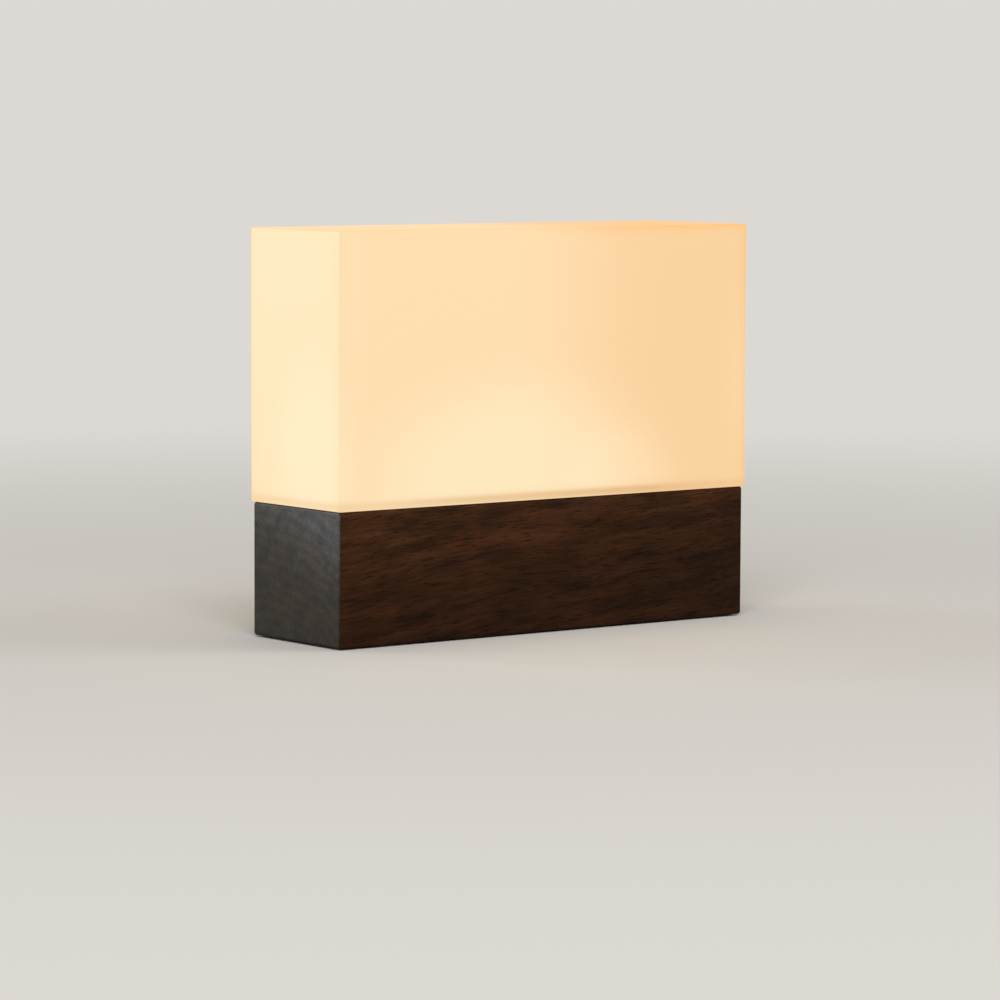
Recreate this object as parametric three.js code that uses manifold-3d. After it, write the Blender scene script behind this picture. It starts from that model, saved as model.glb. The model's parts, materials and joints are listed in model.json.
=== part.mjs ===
// A rechargeable table light: a hollow walnut block that carries a lit box of opal acrylic.
// Lengths are in millimetres. X runs along the light, Y from its front to its back, Z up.
// The origin is on the table, under the middle of the light.

import * as THREE from 'three';
import { RoundedBoxGeometry } from 'three/addons/geometries/RoundedBoxGeometry.js';
import { mergeVertices } from 'three/addons/utils/BufferGeometryUtils.js';
import Module from 'manifold-3d';

const wasm = await Module();
wasm.setup();

// Clearances that several pieces share
const SLIP = 0.15; // a piece in its own hole or seat
const AIR = 0.3; // a loose or sliding piece beside its neighbour
const OVERRUN = 1; // a cutter past the face that it cuts

// Facets round a circle
const FINE = 24;
const COARSE = 16;

// Diffuser, a box of opal acrylic, open below
const DIFFUSER_LENGTH = 120;
const DIFFUSER_DEPTH = 35;
const DIFFUSER_HEIGHT = 63.1;
const DIFFUSER_WALL = 3;
const DIFFUSER_EDGE = 0.3;

// Walnut base
const OVERHANG = 0.35; // acrylic beyond the wood on every side
const BASE_HEIGHT = 31;
const BASE_EDGE = 0.7;
const BASE_WALL = 5; // wood in front of the cavity and behind it
const BASE_END = 11.15; // wood at each end of the cavity
const DECK = 4; // wood above the cavity
const MILL_RADIUS = 3; // inner corners, left by the cutter

// Bottom cover and its screws
const COVER_THICKNESS = 2;
const COVER_RIM = 3.65; // wood outside the cover
const COVER_GAP = 0.2;
const COVER_SCREW_DIAMETER = 3;
const COVER_SCREW_HEAD = 5.5;
const COVER_SCREW_LENGTH = 8;
const COVER_SCREW_INSET = 7.2; // from the end of the wood
const COVER_SCREW_SIDE = 9.15; // from the front or back of the wood
const INSERT_DIAMETER = 4.6;
const INSERT_LENGTH = 6;
const INSERT_GROOVE = 0.3;
const INSERT_RELIEF = 1; // free depth above an insert

// Rubber feet
const FOOT_DIAMETER = 8;
const FOOT_THICKNESS = 1.15;
const FOOT_STAND = 0.35; // foot below the wood
const FOOT_CHAMFER = 0.15;
const FOOT_INSET = 14.65; // from the end of the wood
const FOOT_SIDE = 9.15; // from the front or back of the wood

// Small screws, shared by the tray, the cradle and the board
const SCREW_DIAMETER = 2.2;
const SCREW_HEAD = 4.2;
const SCREW_LIP = 0.15; // straight rim of a countersunk head
const SCREW_TIP = 0.4;
const TRAY_SCREW_LENGTH = 9;
const CRADLE_SCREW_LENGTH = 5;
const BOARD_SCREW_LENGTH = 5;
const BOARD_SCREW_HEAD_HEIGHT = 1.3;
const RECESS_LENGTH_SHARE = 0.52; // crossed driver recess, as shares of the head
const RECESS_WIDTH_SHARE = 0.14;
const RECESS_DEPTH_SHARE = 0.2;

// LED tray, the seal round it and what it carries
const TRAY_PLATE = 1.2;
const TRAY_HEIGHT = 2.6;
const TRAY_RIM = 2.2;
const TRAY_LEDGE = 0.8; // carries the edge of the reflector sheet
const TRAY_CORNER = 1;
const TRAY_SCREW_INSET = 8.3; // from the end of the wood
const SEAL_SECTION = 1;
const SEAL_RISE = 0.85; // underside of the seal above the wood
const LED_BOARD_THICKNESS = 0.8;
const LED_BOARD_END_GAP = 5.7; // to the ledge of the tray
const LED_BOARD_SIDE_GAP = 4.2;
const LED_COUNT = 8;
const LED_LENGTH = 3.5;
const LED_DEPTH = 2.8;
const LED_HEIGHT = 0.7;
const LED_CORNER = 0.7;
const REFLECTOR_THICKNESS = 0.4;

// Battery cell and what holds it
const CELL_EDGE = 0.6;
const CELL_NUB_DIAMETER = 5.5;
const CELL_NUB_HEIGHT = 1.2;
const CELL_CRIMP_DEPTH = 0.5;
const CELL_CRIMP_WIDTH = 1.4;
const CELL_CRIMP_INSET = 3; // from the shoulder round the nub
const CELL_END_GAP = 1.4; // from the end of the cavity
const CELL_BOARD_GAP = 2.4; // to the control board
const CELL_RISE = 4.4; // above the cover, for the foam pad
const CRADLE_INSET = 2.6; // from each end of the cell
const CRADLE_SIDE = 2.35; // wall beside the cell's channel
const CRADLE_WEB = 1.9; // between the channel and the deck
const CRADLE_SCREW_INSET = 8; // from each end of the cradle
const PAD_INSET = 10; // from each end of the cradle
const PAD_DEPTH = 12;
const PAD_RISE = 1.6; // how far the pad reaches up round the cell
const TAB_THICKNESS = 0.3;
const TAB_HEIGHT = 6;
const TAB_REACH = 2.8; // past the middle of the cell
const TAB_GAP = 0.9; // to the front wall of the cavity

// Leads
const LEAD_DIAMETER = 1.3;
const LEAD_LANE = 1.75; // middle of a lead from the front wall of the cavity
const LEAD_DROP = 2.3; // black lead below the middle of the cell
const LEAD_BEND = 2;
const LEAD_STEP = 3.2; // length of one straight facet
const LED_LEAD_SPACING = 2.4;
const LED_LEAD_REACH = 4.5; // in front of the control board
const LED_LEAD_RISE = 8; // above the middle of the control board
const WIRE_HOLE_DIAMETER = 5;

// Control board, upright behind the middle of the base
const BOARD_LENGTH = 26;
const BOARD_HEIGHT = 20;
const BOARD_THICKNESS = 1.6;
const BOARD_CORNER = 1;
const BOARD_END_GAP = 2; // from the end of the cavity
const BOARD_HOLE_INSET = 2.8;
const STANDOFF_LENGTH = 10;
const STANDOFF_ACROSS = 4;
const STANDOFF_STUD_DIAMETER = 2;
const STANDOFF_STUD_LENGTH = 3;

// Parts on the front of the control board: across, forward and up
const CHARGE_CHIP_SIZE = [5, 1.5, 4];
const CHARGE_CHIP_PLACE = [1, -4.5];
const DRIVER_CHIP_SIZE = [3, 1.1, 3];
const DRIVER_CHIP_PLACE = [-3.5, 3];
const INDUCTOR_SIZE = [6, 2.6, 6];
const INDUCTOR_PLACE = [6, 3.5];
const INDUCTOR_CORNER = 1.2;
const CONNECTOR_SIZE = [6, 4.8, 4.5];
const CONNECTOR_PLACE = [-9, -5.5];
const CONNECTOR_PITCH = 2;

// Charging socket, and the recess in the wood round its mouth
const PORT_SHIFT = -8; // from the middle of the board
const PORT_LENGTH = 8.94;
const PORT_HEIGHT = 3.16;
const PORT_SHELL = 0.3;
const PORT_TONGUE_LENGTH = 6.7;
const PORT_TONGUE_THICKNESS = 0.7;
const PORT_TONGUE_INSET = 1; // tip behind the mouth
const PORT_DEPTH = 6.2; // from the mouth to the block that carries the tongue
const RECESS_DEPTH = 2.65;
const PORT_RECESS_LENGTH = 13;
const PORT_RECESS_HEIGHT = 7.4;

// Charge light
const CHARGE_LED_SIZE = [1.6, 0.6, 0.8];
const CHARGE_LIGHT_RISE = 7; // above the middle of the board
const LIGHT_PIPE_DIAMETER = 2;
const LIGHT_PIPE_ROUND = 0.4;

// Push button
const BUTTON_SHIFT = 8; // from the middle of the board
const BUTTON_DIAMETER = 8;
const BUTTON_INSET = 0.15; // end of the cap behind the face of the wood
const BUTTON_ROUND = 0.5;
const BUTTON_HOLLOW = 0.25;
const BUTTON_TRAVEL = 1.8;
const BUTTON_DISH_DIAMETER = 12;
const FLANGE_DIAMETER = 10;
const FLANGE_THICKNESS = 1;
const SWITCH_WIDTH = 7;
const SWITCH_HEIGHT = 4;
const SWITCH_FLOOR = 0.6;
const PLUNGER_WIDTH = 3;
const PLUNGER_SEAT = 3; // depth of the socket in the cap
const SPRING_DIAMETER = 5.2; // middle of the wire
const SPRING_WIRE = 0.4;
const SPRING_TURNS = 4.5;
const SPRING_STEPS = 8; // in one turn
const SPRING_SIDES = 5;

// Places that follow from the sizes above, measured from the underside of the wood
const baseLength = DIFFUSER_LENGTH - 2 * OVERHANG;
const baseDepth = DIFFUSER_DEPTH - 2 * OVERHANG;
const cavityLength = baseLength - 2 * BASE_END;
const cavityDepth = baseDepth - 2 * BASE_WALL;
const ceiling = BASE_HEIGHT - DECK;
const rebateLength = baseLength - 2 * COVER_RIM;
const rebateDepth = baseDepth - 2 * COVER_RIM;
const coverScrewX = baseLength / 2 - COVER_SCREW_INSET;
const footX = baseLength / 2 - FOOT_INSET;
const trayScrewX = baseLength / 2 - TRAY_SCREW_INSET;
const innerLength = DIFFUSER_LENGTH - 2 * DIFFUSER_WALL;
const innerDepth = DIFFUSER_DEPTH - 2 * DIFFUSER_WALL;
const ledBoardTop = TRAY_PLATE + LED_BOARD_THICKNESS;
const ledgeInset = AIR + TRAY_RIM + TRAY_LEDGE; // inner edge of the ledge from the acrylic's wall

// Spacings and widths that follow the outline
const COVER_SCREW_SPACING = baseDepth - 2 * COVER_SCREW_SIDE;
const FOOT_SPACING = baseDepth - 2 * FOOT_SIDE;
const LED_BOARD_DEPTH = innerDepth - 2 * (ledgeInset + LED_BOARD_SIDE_GAP);
const LED_PITCH = (innerLength - 2 * (ledgeInset + LED_BOARD_END_GAP)) / LED_COUNT;

// Sizes of the pieces that fill the cavity, from the room that it leaves them
const CELL_LENGTH = cavityLength - CELL_END_GAP - CELL_BOARD_GAP - BOARD_LENGTH - BOARD_END_GAP;
const CELL_DIAMETER = Math.min(
  cavityDepth - 2 * (AIR + CRADLE_SIDE + AIR),
  ceiling - CRADLE_WEB - AIR - CELL_RISE - COVER_THICKNESS,
);
const CRADLE_LENGTH = CELL_LENGTH - 2 * CRADLE_INSET;
const CRADLE_SCREW_SPACING = CRADLE_LENGTH - 2 * CRADLE_SCREW_INSET;
const PAD_LENGTH = CRADLE_LENGTH - 2 * PAD_INSET;

const cellStart = -cavityLength / 2 + CELL_END_GAP;
const cellEnd = cellStart + CELL_LENGTH;
const cellMiddle = (cellStart + cellEnd) / 2;
const channelRadius = CELL_DIAMETER / 2 + AIR;
const cellZ = ceiling - CRADLE_WEB - channelRadius;
const laneY = -cavityDepth / 2 + LEAD_LANE;

const outerBackY = baseDepth / 2;
const innerBackY = cavityDepth / 2;
const recessFloorY = outerBackY - RECESS_DEPTH;
const boardX = cavityLength / 2 - BOARD_END_GAP - BOARD_LENGTH / 2;
const boardY = innerBackY - STANDOFF_LENGTH; // back face of the board
const boardZ = (COVER_THICKNESS + ceiling) / 2;
const boardFrontY = boardY - BOARD_THICKNESS;
const wireHoleY = boardFrontY - LED_LEAD_REACH;
const standoffPlaces = [
  [-BOARD_LENGTH / 2 + BOARD_HOLE_INSET, BOARD_HEIGHT / 2 - BOARD_HOLE_INSET],
  [BOARD_LENGTH / 2 - BOARD_HOLE_INSET, -BOARD_HEIGHT / 2 + BOARD_HOLE_INSET],
];

// Finishes
function finish(color, roughness, metalness = 0) {
  return new THREE.MeshStandardMaterial({ color, roughness, metalness });
}

const opalAcrylic = finish('#fee0b4', 0.35);
opalAcrylic.emissive.set('#8a6434');
const oiledWalnut = finish('#33221a', 0.55);
const blackPlastic = finish('#17181a', 0.6);
const whitePlastic = finish('#e8e4da', 0.5);
const siliconeRubber = finish('#d8d4cc', 0.8);
const blackRubber = finish('#1b1b1b', 0.9);
const whiteFilm = finish('#f4f2ec', 0.6);
const whiteBoard = finish('#eceae2', 0.45);
const greenBoard = finish('#1d5a38', 0.5);
const ledPhosphor = finish('#f2c84a', 0.4);
const zincSteel = finish('#a9acb0', 0.35, 1);
const blackSteel = finish('#2a2b2d', 0.45, 1);
const brass = finish('#b99a54', 0.35, 1);
const nickel = finish('#b9b6ae', 0.3, 1);
const cellSleeve = finish('#2f6f9c', 0.4);
const greyFoam = finish('#4a4a4c', 0.95);
const redWire = finish('#a8201c', 0.55);
const blackWire = finish('#1a1a1c', 0.55);
const clearAcrylic = finish('#e6eef0', 0.15);
const chipEpoxy = finish('#1c1c1f', 0.55);
const ferrite = finish('#3a3a3e', 0.7);

// A closed three.js geometry as a solid that can be joined and cut
function solid(geometry) {
  const bare = geometry.clone();
  bare.deleteAttribute('normal');
  bare.deleteAttribute('uv');
  const merged = mergeVertices(bare);
  const corners = Array.from(merged.index.array);
  const triangles = [];
  for (let i = 0; i < corners.length; i += 3) {
    const [a, b, c] = corners.slice(i, i + 3);
    if (a !== b && b !== c && c !== a) triangles.push(a, b, c);
  }
  return new wasm.Manifold(new wasm.Mesh({
    numProp: 3,
    vertProperties: merged.attributes.position.array,
    triVerts: Uint32Array.from(triangles),
  }));
}

// A cut solid as a three.js geometry
function surface(body) {
  const { vertProperties, triVerts } = body.getMesh();
  const geometry = new THREE.BufferGeometry();
  geometry.setAttribute('position', new THREE.BufferAttribute(vertProperties, 3));
  geometry.setIndex(new THREE.BufferAttribute(triVerts, 1));
  geometry.computeVertexNormals();
  return geometry;
}

// The first geometry with the others cut out of it
function cut(geometry, cutters) {
  return surface(cutters.reduce((body, cutter) => body.subtract(solid(cutter)), solid(geometry)));
}

// Geometries that touch or overlap, joined to one
function join(geometries) {
  return surface(geometries.map(solid).reduce((body, next) => body.add(next)));
}

function piece(name, geometry, material, x = 0, y = 0, z = 0) {
  const mesh = new THREE.Mesh(geometry, material);
  mesh.name = name;
  mesh.position.set(x, y, z);
  return mesh;
}

// A box between two corners
function block([x0, y0, z0], [x1, y1, z1]) {
  const box = new THREE.BoxGeometry(x1 - x0, y1 - y0, z1 - z0);
  return box.translate((x0 + x1) / 2, (y0 + y1) / 2, (z0 + z1) / 2);
}

// Round bars along Y and along Z, between two heights on their axis
function barY(diameter, from, to, sides = FINE) {
  const bar = new THREE.CylinderGeometry(diameter / 2, diameter / 2, to - from, sides);
  return bar.translate(0, (from + to) / 2, 0);
}

function barZ(diameter, from, to, sides = FINE) {
  return barY(diameter, from, to, sides).rotateX(Math.PI / 2);
}

// A piece turned about Y from points of radius and height
function turned(profile, sides = FINE) {
  return new THREE.LatheGeometry(profile.map(([radius, height]) => new THREE.Vector2(radius, height)), sides);
}

// The outline of a rectangle with round corners
function roundedOutline(width, height, corner) {
  const [x, y] = [width / 2, height / 2];
  const outline = new THREE.Shape();
  outline.absarc(x - corner, -y + corner, corner, -Math.PI / 2, 0);
  outline.absarc(x - corner, y - corner, corner, 0, Math.PI / 2);
  outline.absarc(-x + corner, y - corner, corner, Math.PI / 2, Math.PI);
  outline.absarc(-x + corner, -y + corner, corner, Math.PI, 1.5 * Math.PI);
  outline.closePath();
  return outline;
}

function extruded(outline, depth, curveSegments = 3) {
  return new THREE.ExtrudeGeometry(outline, { depth, bevelEnabled: false, curveSegments });
}

// A flat plate with round corners, between two heights
function plate(length, depth, corner, from, to) {
  return extruded(roundedOutline(length, depth, corner), to - from).translate(0, 0, from);
}

// The same plate standing up, between two places along Y
function uprightPlate(length, height, corner, from, to) {
  const upright = extruded(roundedOutline(length, height, corner), to - from);
  return upright.rotateX(Math.PI / 2).translate(0, to, 0);
}

// A crossed driver recess, cut into a head whose face is at zero, along Z
function driverRecess(head) {
  const [reach, half, depth] = [
    head * RECESS_LENGTH_SHARE / 2,
    head * RECESS_WIDTH_SHARE / 2,
    head * RECESS_DEPTH_SHARE,
  ];
  return [
    block([-reach, -half, -OVERRUN], [reach, half, depth]),
    block([-half, -reach, -OVERRUN], [half, reach, depth]),
  ];
}

// A countersunk screw that points up from its head at zero
function countersunkScrew(diameter, head, length) {
  const cone = SCREW_LIP + (head - diameter) / 2;
  const body = turned([
    [0, 0],
    [head / 2, 0],
    [head / 2, SCREW_LIP],
    [diameter / 2, cone],
    [diameter / 2, length - SCREW_TIP],
    [diameter / 2 - SCREW_TIP, length],
    [0, length],
  ], COARSE).rotateX(Math.PI / 2);
  return cut(body, driverRecess(head));
}

// The space that such a screw needs in the pieces it goes through
function countersunkHole(diameter, head, length) {
  const cone = SCREW_LIP + (head - diameter) / 2;
  return turned([
    [0, -OVERRUN],
    [head / 2 + SLIP, -OVERRUN],
    [head / 2 + SLIP, SCREW_LIP],
    [diameter / 2 + SLIP, cone],
    [diameter / 2 + SLIP, length + SLIP],
    [0, length + SLIP],
  ], COARSE).rotateX(Math.PI / 2);
}

// The four places, left and right, front and back, round the middle of the light
function fourPlaces(x, spacing) {
  return [
    [-x, -spacing / 2],
    [x, -spacing / 2],
    [-x, spacing / 2],
    [x, spacing / 2],
  ];
}

const coverScrewPlaces = fourPlaces(coverScrewX, COVER_SCREW_SPACING);
const footPlaces = fourPlaces(footX, FOOT_SPACING);

// Walnut block: hollowed from below, with the ways out for the leads, socket, light and button
function walnutBase() {
  const blank = new RoundedBoxGeometry(baseLength, baseDepth, BASE_HEIGHT, 2, BASE_EDGE);
  blank.translate(0, 0, BASE_HEIGHT / 2);
  const cutters = [
    plate(rebateLength, rebateDepth, MILL_RADIUS, -OVERRUN, COVER_THICKNESS),
    plate(cavityLength, cavityDepth, MILL_RADIUS, 0, ceiling),
    barZ(WIRE_HOLE_DIAMETER, ceiling - OVERRUN, BASE_HEIGHT + OVERRUN).translate(boardX, wireHoleY, 0),
  ];
  const insertTop = COVER_THICKNESS + INSERT_LENGTH + INSERT_RELIEF;
  for (const [x, y] of coverScrewPlaces) {
    cutters.push(barZ(INSERT_DIAMETER + 2 * SLIP, 0, insertTop).translate(x, y, 0));
  }
  const pilot = SCREW_DIAMETER + 2 * SLIP;
  const trayScrewEnd = BASE_HEIGHT + TRAY_PLATE - TRAY_SCREW_LENGTH - SLIP;
  for (const x of [-trayScrewX, trayScrewX]) {
    cutters.push(barZ(pilot, trayScrewEnd, BASE_HEIGHT + OVERRUN, COARSE).translate(x, 0, 0));
  }
  const cradleScrewEnd = ceiling - CRADLE_WEB + CRADLE_SCREW_LENGTH + SLIP;
  for (const shift of [-CRADLE_SCREW_SPACING / 2, CRADLE_SCREW_SPACING / 2]) {
    const hole = barZ(pilot, ceiling - OVERRUN, cradleScrewEnd, COARSE);
    cutters.push(hole.translate(cellMiddle + shift, 0, 0));
  }
  return cut(blank, [...cutters, ...backCutters()]);
}

// Socket slot and recess, button bore and dish, charge light hole and stud holes, in the back wall
function backCutters() {
  const inside = innerBackY - OVERRUN;
  const outside = outerBackY + OVERRUN;
  const slot = uprightPlate(
    PORT_LENGTH + 2 * AIR,
    PORT_HEIGHT + 2 * AIR,
    PORT_HEIGHT / 2,
    inside,
    recessFloorY + OVERRUN,
  );
  const recess = uprightPlate(
    PORT_RECESS_LENGTH,
    PORT_RECESS_HEIGHT,
    PORT_RECESS_HEIGHT / 2 - SLIP,
    recessFloorY,
    outside,
  );
  const studs = standoffPlaces.map(([x, z]) => {
    const end = innerBackY + STANDOFF_STUD_LENGTH + SLIP;
    return barY(STANDOFF_STUD_DIAMETER + 2 * SLIP, inside, end, COARSE).translate(x, 0, z);
  });
  const cutters = [
    slot.translate(PORT_SHIFT, 0, 0),
    recess.translate(PORT_SHIFT, 0, 0),
    barY(BUTTON_DIAMETER + 2 * AIR, inside, outside).translate(BUTTON_SHIFT, 0, 0),
    barY(BUTTON_DISH_DIAMETER, recessFloorY, outside).translate(BUTTON_SHIFT, 0, 0),
    barY(LIGHT_PIPE_DIAMETER + 2 * SLIP, inside, outside, COARSE).translate(0, 0, CHARGE_LIGHT_RISE),
    ...studs,
  ];
  return cutters.map((cutter) => cutter.translate(boardX, 0, boardZ));
}

// Cover plate with countersunk screw holes and pockets for the feet
function bottomCover() {
  const length = rebateLength - 2 * COVER_GAP;
  const depth = rebateDepth - 2 * COVER_GAP;
  const blank = plate(length, depth, MILL_RADIUS, 0, COVER_THICKNESS);
  const screwHoles = coverScrewPlaces.map(([x, y]) => (
    countersunkHole(COVER_SCREW_DIAMETER, COVER_SCREW_HEAD, COVER_SCREW_LENGTH).translate(x, y, 0)
  ));
  const pockets = footPlaces.map(([x, y]) => (
    barZ(FOOT_DIAMETER + 2 * SLIP, -OVERRUN, FOOT_THICKNESS - FOOT_STAND).translate(x, y, 0)
  ));
  return piece('bottom_cover', cut(blank, [...screwHoles, ...pockets]), blackPlastic);
}

function coverScrews() {
  const screw = countersunkScrew(COVER_SCREW_DIAMETER, COVER_SCREW_HEAD, COVER_SCREW_LENGTH);
  return coverScrewPlaces.map(([x, y], i) => piece(`cover_screw_${i + 1}`, screw, blackSteel, x, y));
}

// Threaded brass inserts, pressed into the wood from the ledge behind the cover
function coverInserts() {
  const bore = COVER_SCREW_DIAMETER / 2 + SLIP;
  const outside = INSERT_DIAMETER / 2;
  const waist = outside - INSERT_GROOVE;
  const middle = INSERT_LENGTH / 2;
  const insert = turned([
    [bore, 0],
    [outside, 0],
    [outside, middle - 2 * INSERT_GROOVE],
    [waist, middle - INSERT_GROOVE],
    [waist, middle + INSERT_GROOVE],
    [outside, middle + 2 * INSERT_GROOVE],
    [outside, INSERT_LENGTH],
    [bore, INSERT_LENGTH],
    [bore, 0],
  ], COARSE).rotateX(Math.PI / 2);
  return coverScrewPlaces.map(([x, y], i) => (
    piece(`cover_insert_${i + 1}`, insert, brass, x, y, COVER_THICKNESS)
  ));
}

function feet() {
  const radius = FOOT_DIAMETER / 2;
  const foot = turned([
    [0, 0],
    [radius - FOOT_CHAMFER, 0],
    [radius, FOOT_CHAMFER],
    [radius, FOOT_THICKNESS],
    [0, FOOT_THICKNESS],
  ]).rotateX(Math.PI / 2);
  return footPlaces.map(([x, y], i) => piece(`foot_${i + 1}`, foot, blackRubber, x, y, -FOOT_STAND));
}

// Cylindrical cell, lying along X with its positive end to the right
function batteryCell() {
  const radius = CELL_DIAMETER / 2;
  const waist = radius - CELL_CRIMP_DEPTH;
  const shoulder = CELL_LENGTH - CELL_NUB_HEIGHT;
  const crimp = shoulder - CELL_CRIMP_INSET;
  const cell = turned([
    [0, 0],
    [radius - CELL_EDGE, 0],
    [radius, CELL_EDGE],
    [radius, crimp - CELL_CRIMP_WIDTH],
    [waist, crimp - CELL_CRIMP_WIDTH + CELL_CRIMP_DEPTH],
    [waist, crimp - CELL_CRIMP_DEPTH],
    [radius, crimp],
    [radius, shoulder - CELL_EDGE],
    [radius - CELL_EDGE, shoulder],
    [CELL_NUB_DIAMETER / 2, shoulder],
    [CELL_NUB_DIAMETER / 2, CELL_LENGTH],
    [0, CELL_LENGTH],
  ]).rotateZ(-Math.PI / 2);
  return piece('battery_cell', cell, cellSleeve, cellStart, 0, cellZ);
}

// Cradle under the deck: a block with a half-round channel, held by two screws through its web
function batteryCradle() {
  const half = cavityDepth / 2 - AIR;
  const section = new THREE.Shape();
  section.moveTo(channelRadius, 0);
  section.lineTo(half, 0);
  section.lineTo(half, ceiling - cellZ);
  section.lineTo(-half, ceiling - cellZ);
  section.lineTo(-half, 0);
  section.lineTo(-channelRadius, 0);
  section.absarc(0, 0, channelRadius, Math.PI, 0, true);
  const blank = extruded(section, CRADLE_LENGTH, COARSE / 2).translate(0, 0, -CRADLE_LENGTH / 2);
  blank.rotateX(Math.PI / 2).rotateZ(Math.PI / 2);
  const screw = countersunkScrew(SCREW_DIAMETER, SCREW_HEAD, CRADLE_SCREW_LENGTH);
  const places = [-CRADLE_SCREW_SPACING / 2, CRADLE_SCREW_SPACING / 2];
  const holes = places.map((x) => (
    countersunkHole(SCREW_DIAMETER, SCREW_HEAD, CRADLE_SCREW_LENGTH).translate(x, 0, channelRadius)
  ));
  const cradle = new THREE.Group();
  cradle.position.set(cellMiddle, 0, cellZ);
  cradle.add(
    piece('battery_cradle', cut(blank, holes), blackPlastic),
    piece('cradle_screw_left', screw, zincSteel, places[0], 0, channelRadius),
    piece('cradle_screw_right', screw, zincSteel, places[1], 0, channelRadius),
  );
  return cradle;
}

// Foam that the cover presses up against the cell
function batteryFoamPad() {
  const top = cellZ - CELL_DIAMETER / 2 + PAD_RISE;
  const blank = block(
    [-PAD_LENGTH / 2, -PAD_DEPTH / 2, COVER_THICKNESS],
    [PAD_LENGTH / 2, PAD_DEPTH / 2, top],
  );
  const channel = barZ(2 * channelRadius, -PAD_LENGTH, PAD_LENGTH, 2 * FINE).rotateY(Math.PI / 2);
  const pad = cut(blank, [channel.translate(0, 0, cellZ)]);
  return piece('battery_foam_pad', pad, greyFoam, cellMiddle);
}

// Nickel strips welded to the ends of the cell, reaching forward to the leads
function batteryTabs() {
  const front = -cavityDepth / 2 + TAB_GAP;
  const strip = block([0, front, -TAB_HEIGHT / 2], [TAB_THICKNESS, TAB_REACH, TAB_HEIGHT / 2]);
  return [
    piece('battery_tab_positive', strip, nickel, cellEnd + SLIP, 0, cellZ),
    piece('battery_tab_negative', strip, nickel, cellStart - SLIP - TAB_THICKNESS, 0, cellZ),
  ];
}

// An insulated lead along a smooth curve through its points
function lead(name, points, material) {
  const route = new THREE.CatmullRomCurve3(points.map((point) => new THREE.Vector3(...point)));
  const section = new THREE.Shape();
  section.absarc(0, 0, LEAD_DIAMETER / 2, 0, 2 * Math.PI);
  const steps = Math.ceil(route.getLength() / LEAD_STEP);
  const tube = new THREE.ExtrudeGeometry(section, { steps, curveSegments: 4, extrudePath: route });
  return piece(name, tube, material);
}

// Leads from the strips on the cell to the connector on the board
function batteryLeads() {
  const [width, forward] = CONNECTOR_SIZE;
  const endX = boardX + CONNECTOR_PLACE[0];
  const endY = boardFrontY - forward - SLIP;
  const endZ = boardZ + CONNECTOR_PLACE[1];
  const redX = endX - CONNECTOR_PITCH / 2;
  const blackX = endX + CONNECTOR_PITCH / 2;
  const redStart = cellEnd + SLIP + TAB_THICKNESS + AIR;
  const blackZ = cellZ - LEAD_DROP;
  const bendY = laneY + LEAD_BEND;
  const red = [
    [redStart, laneY, cellZ],
    [redStart + LEAD_BEND / 2, laneY, cellZ],
    [redStart + LEAD_BEND, laneY, cellZ - LEAD_BEND / 2],
    [redX - LEAD_BEND / 2, laneY + LEAD_BEND / 2, endZ + LEAD_BEND],
    [redX, bendY + LEAD_BEND / 2, endZ + LEAD_BEND / 4],
    [redX, endY, endZ],
  ];
  const black = [
    [cellStart, laneY, blackZ],
    [cellStart + width, laneY, blackZ],
    [cellMiddle, laneY, blackZ],
    [cellEnd - width, laneY, blackZ - LEAD_BEND / 2],
    [cellEnd, laneY, endZ + LEAD_BEND / 2],
    [redX, laneY, endZ - LEAD_BEND / 2],
    [blackX, bendY, endZ - LEAD_BEND / 4],
    [blackX, endY, endZ],
  ];
  return [
    lead('battery_lead_red', red, redWire),
    lead('battery_lead_black', black, blackWire),
  ];
}

// Leads from the control board up through the deck to the underside of the LED board
function ledLeads() {
  const startY = boardFrontY - SLIP;
  const startZ = boardZ + LED_LEAD_RISE;
  const top = BASE_HEIGHT + TRAY_PLATE - SLIP;
  const route = (x) => [
    [x, startY, startZ],
    [x, wireHoleY + LEAD_BEND, startZ],
    [x, wireHoleY, startZ + LEAD_BEND],
    [x, wireHoleY, ceiling],
    [x, wireHoleY, top],
  ];
  return [
    lead('led_lead_red', route(boardX - LED_LEAD_SPACING / 2), redWire),
    lead('led_lead_black', route(boardX + LED_LEAD_SPACING / 2), blackWire),
  ];
}

// The board itself; here and below, zero is the middle of its back face
function controlBoard() {
  const blank = uprightPlate(BOARD_LENGTH, BOARD_HEIGHT, BOARD_CORNER, -BOARD_THICKNESS, 0);
  const holes = standoffPlaces.map(([x, z]) => (
    barY(SCREW_DIAMETER + 2 * SLIP, -BOARD_THICKNESS - OVERRUN, OVERRUN, COARSE).translate(x, 0, z)
  ));
  return piece('control_board', cut(blank, holes), greenBoard);
}

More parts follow.
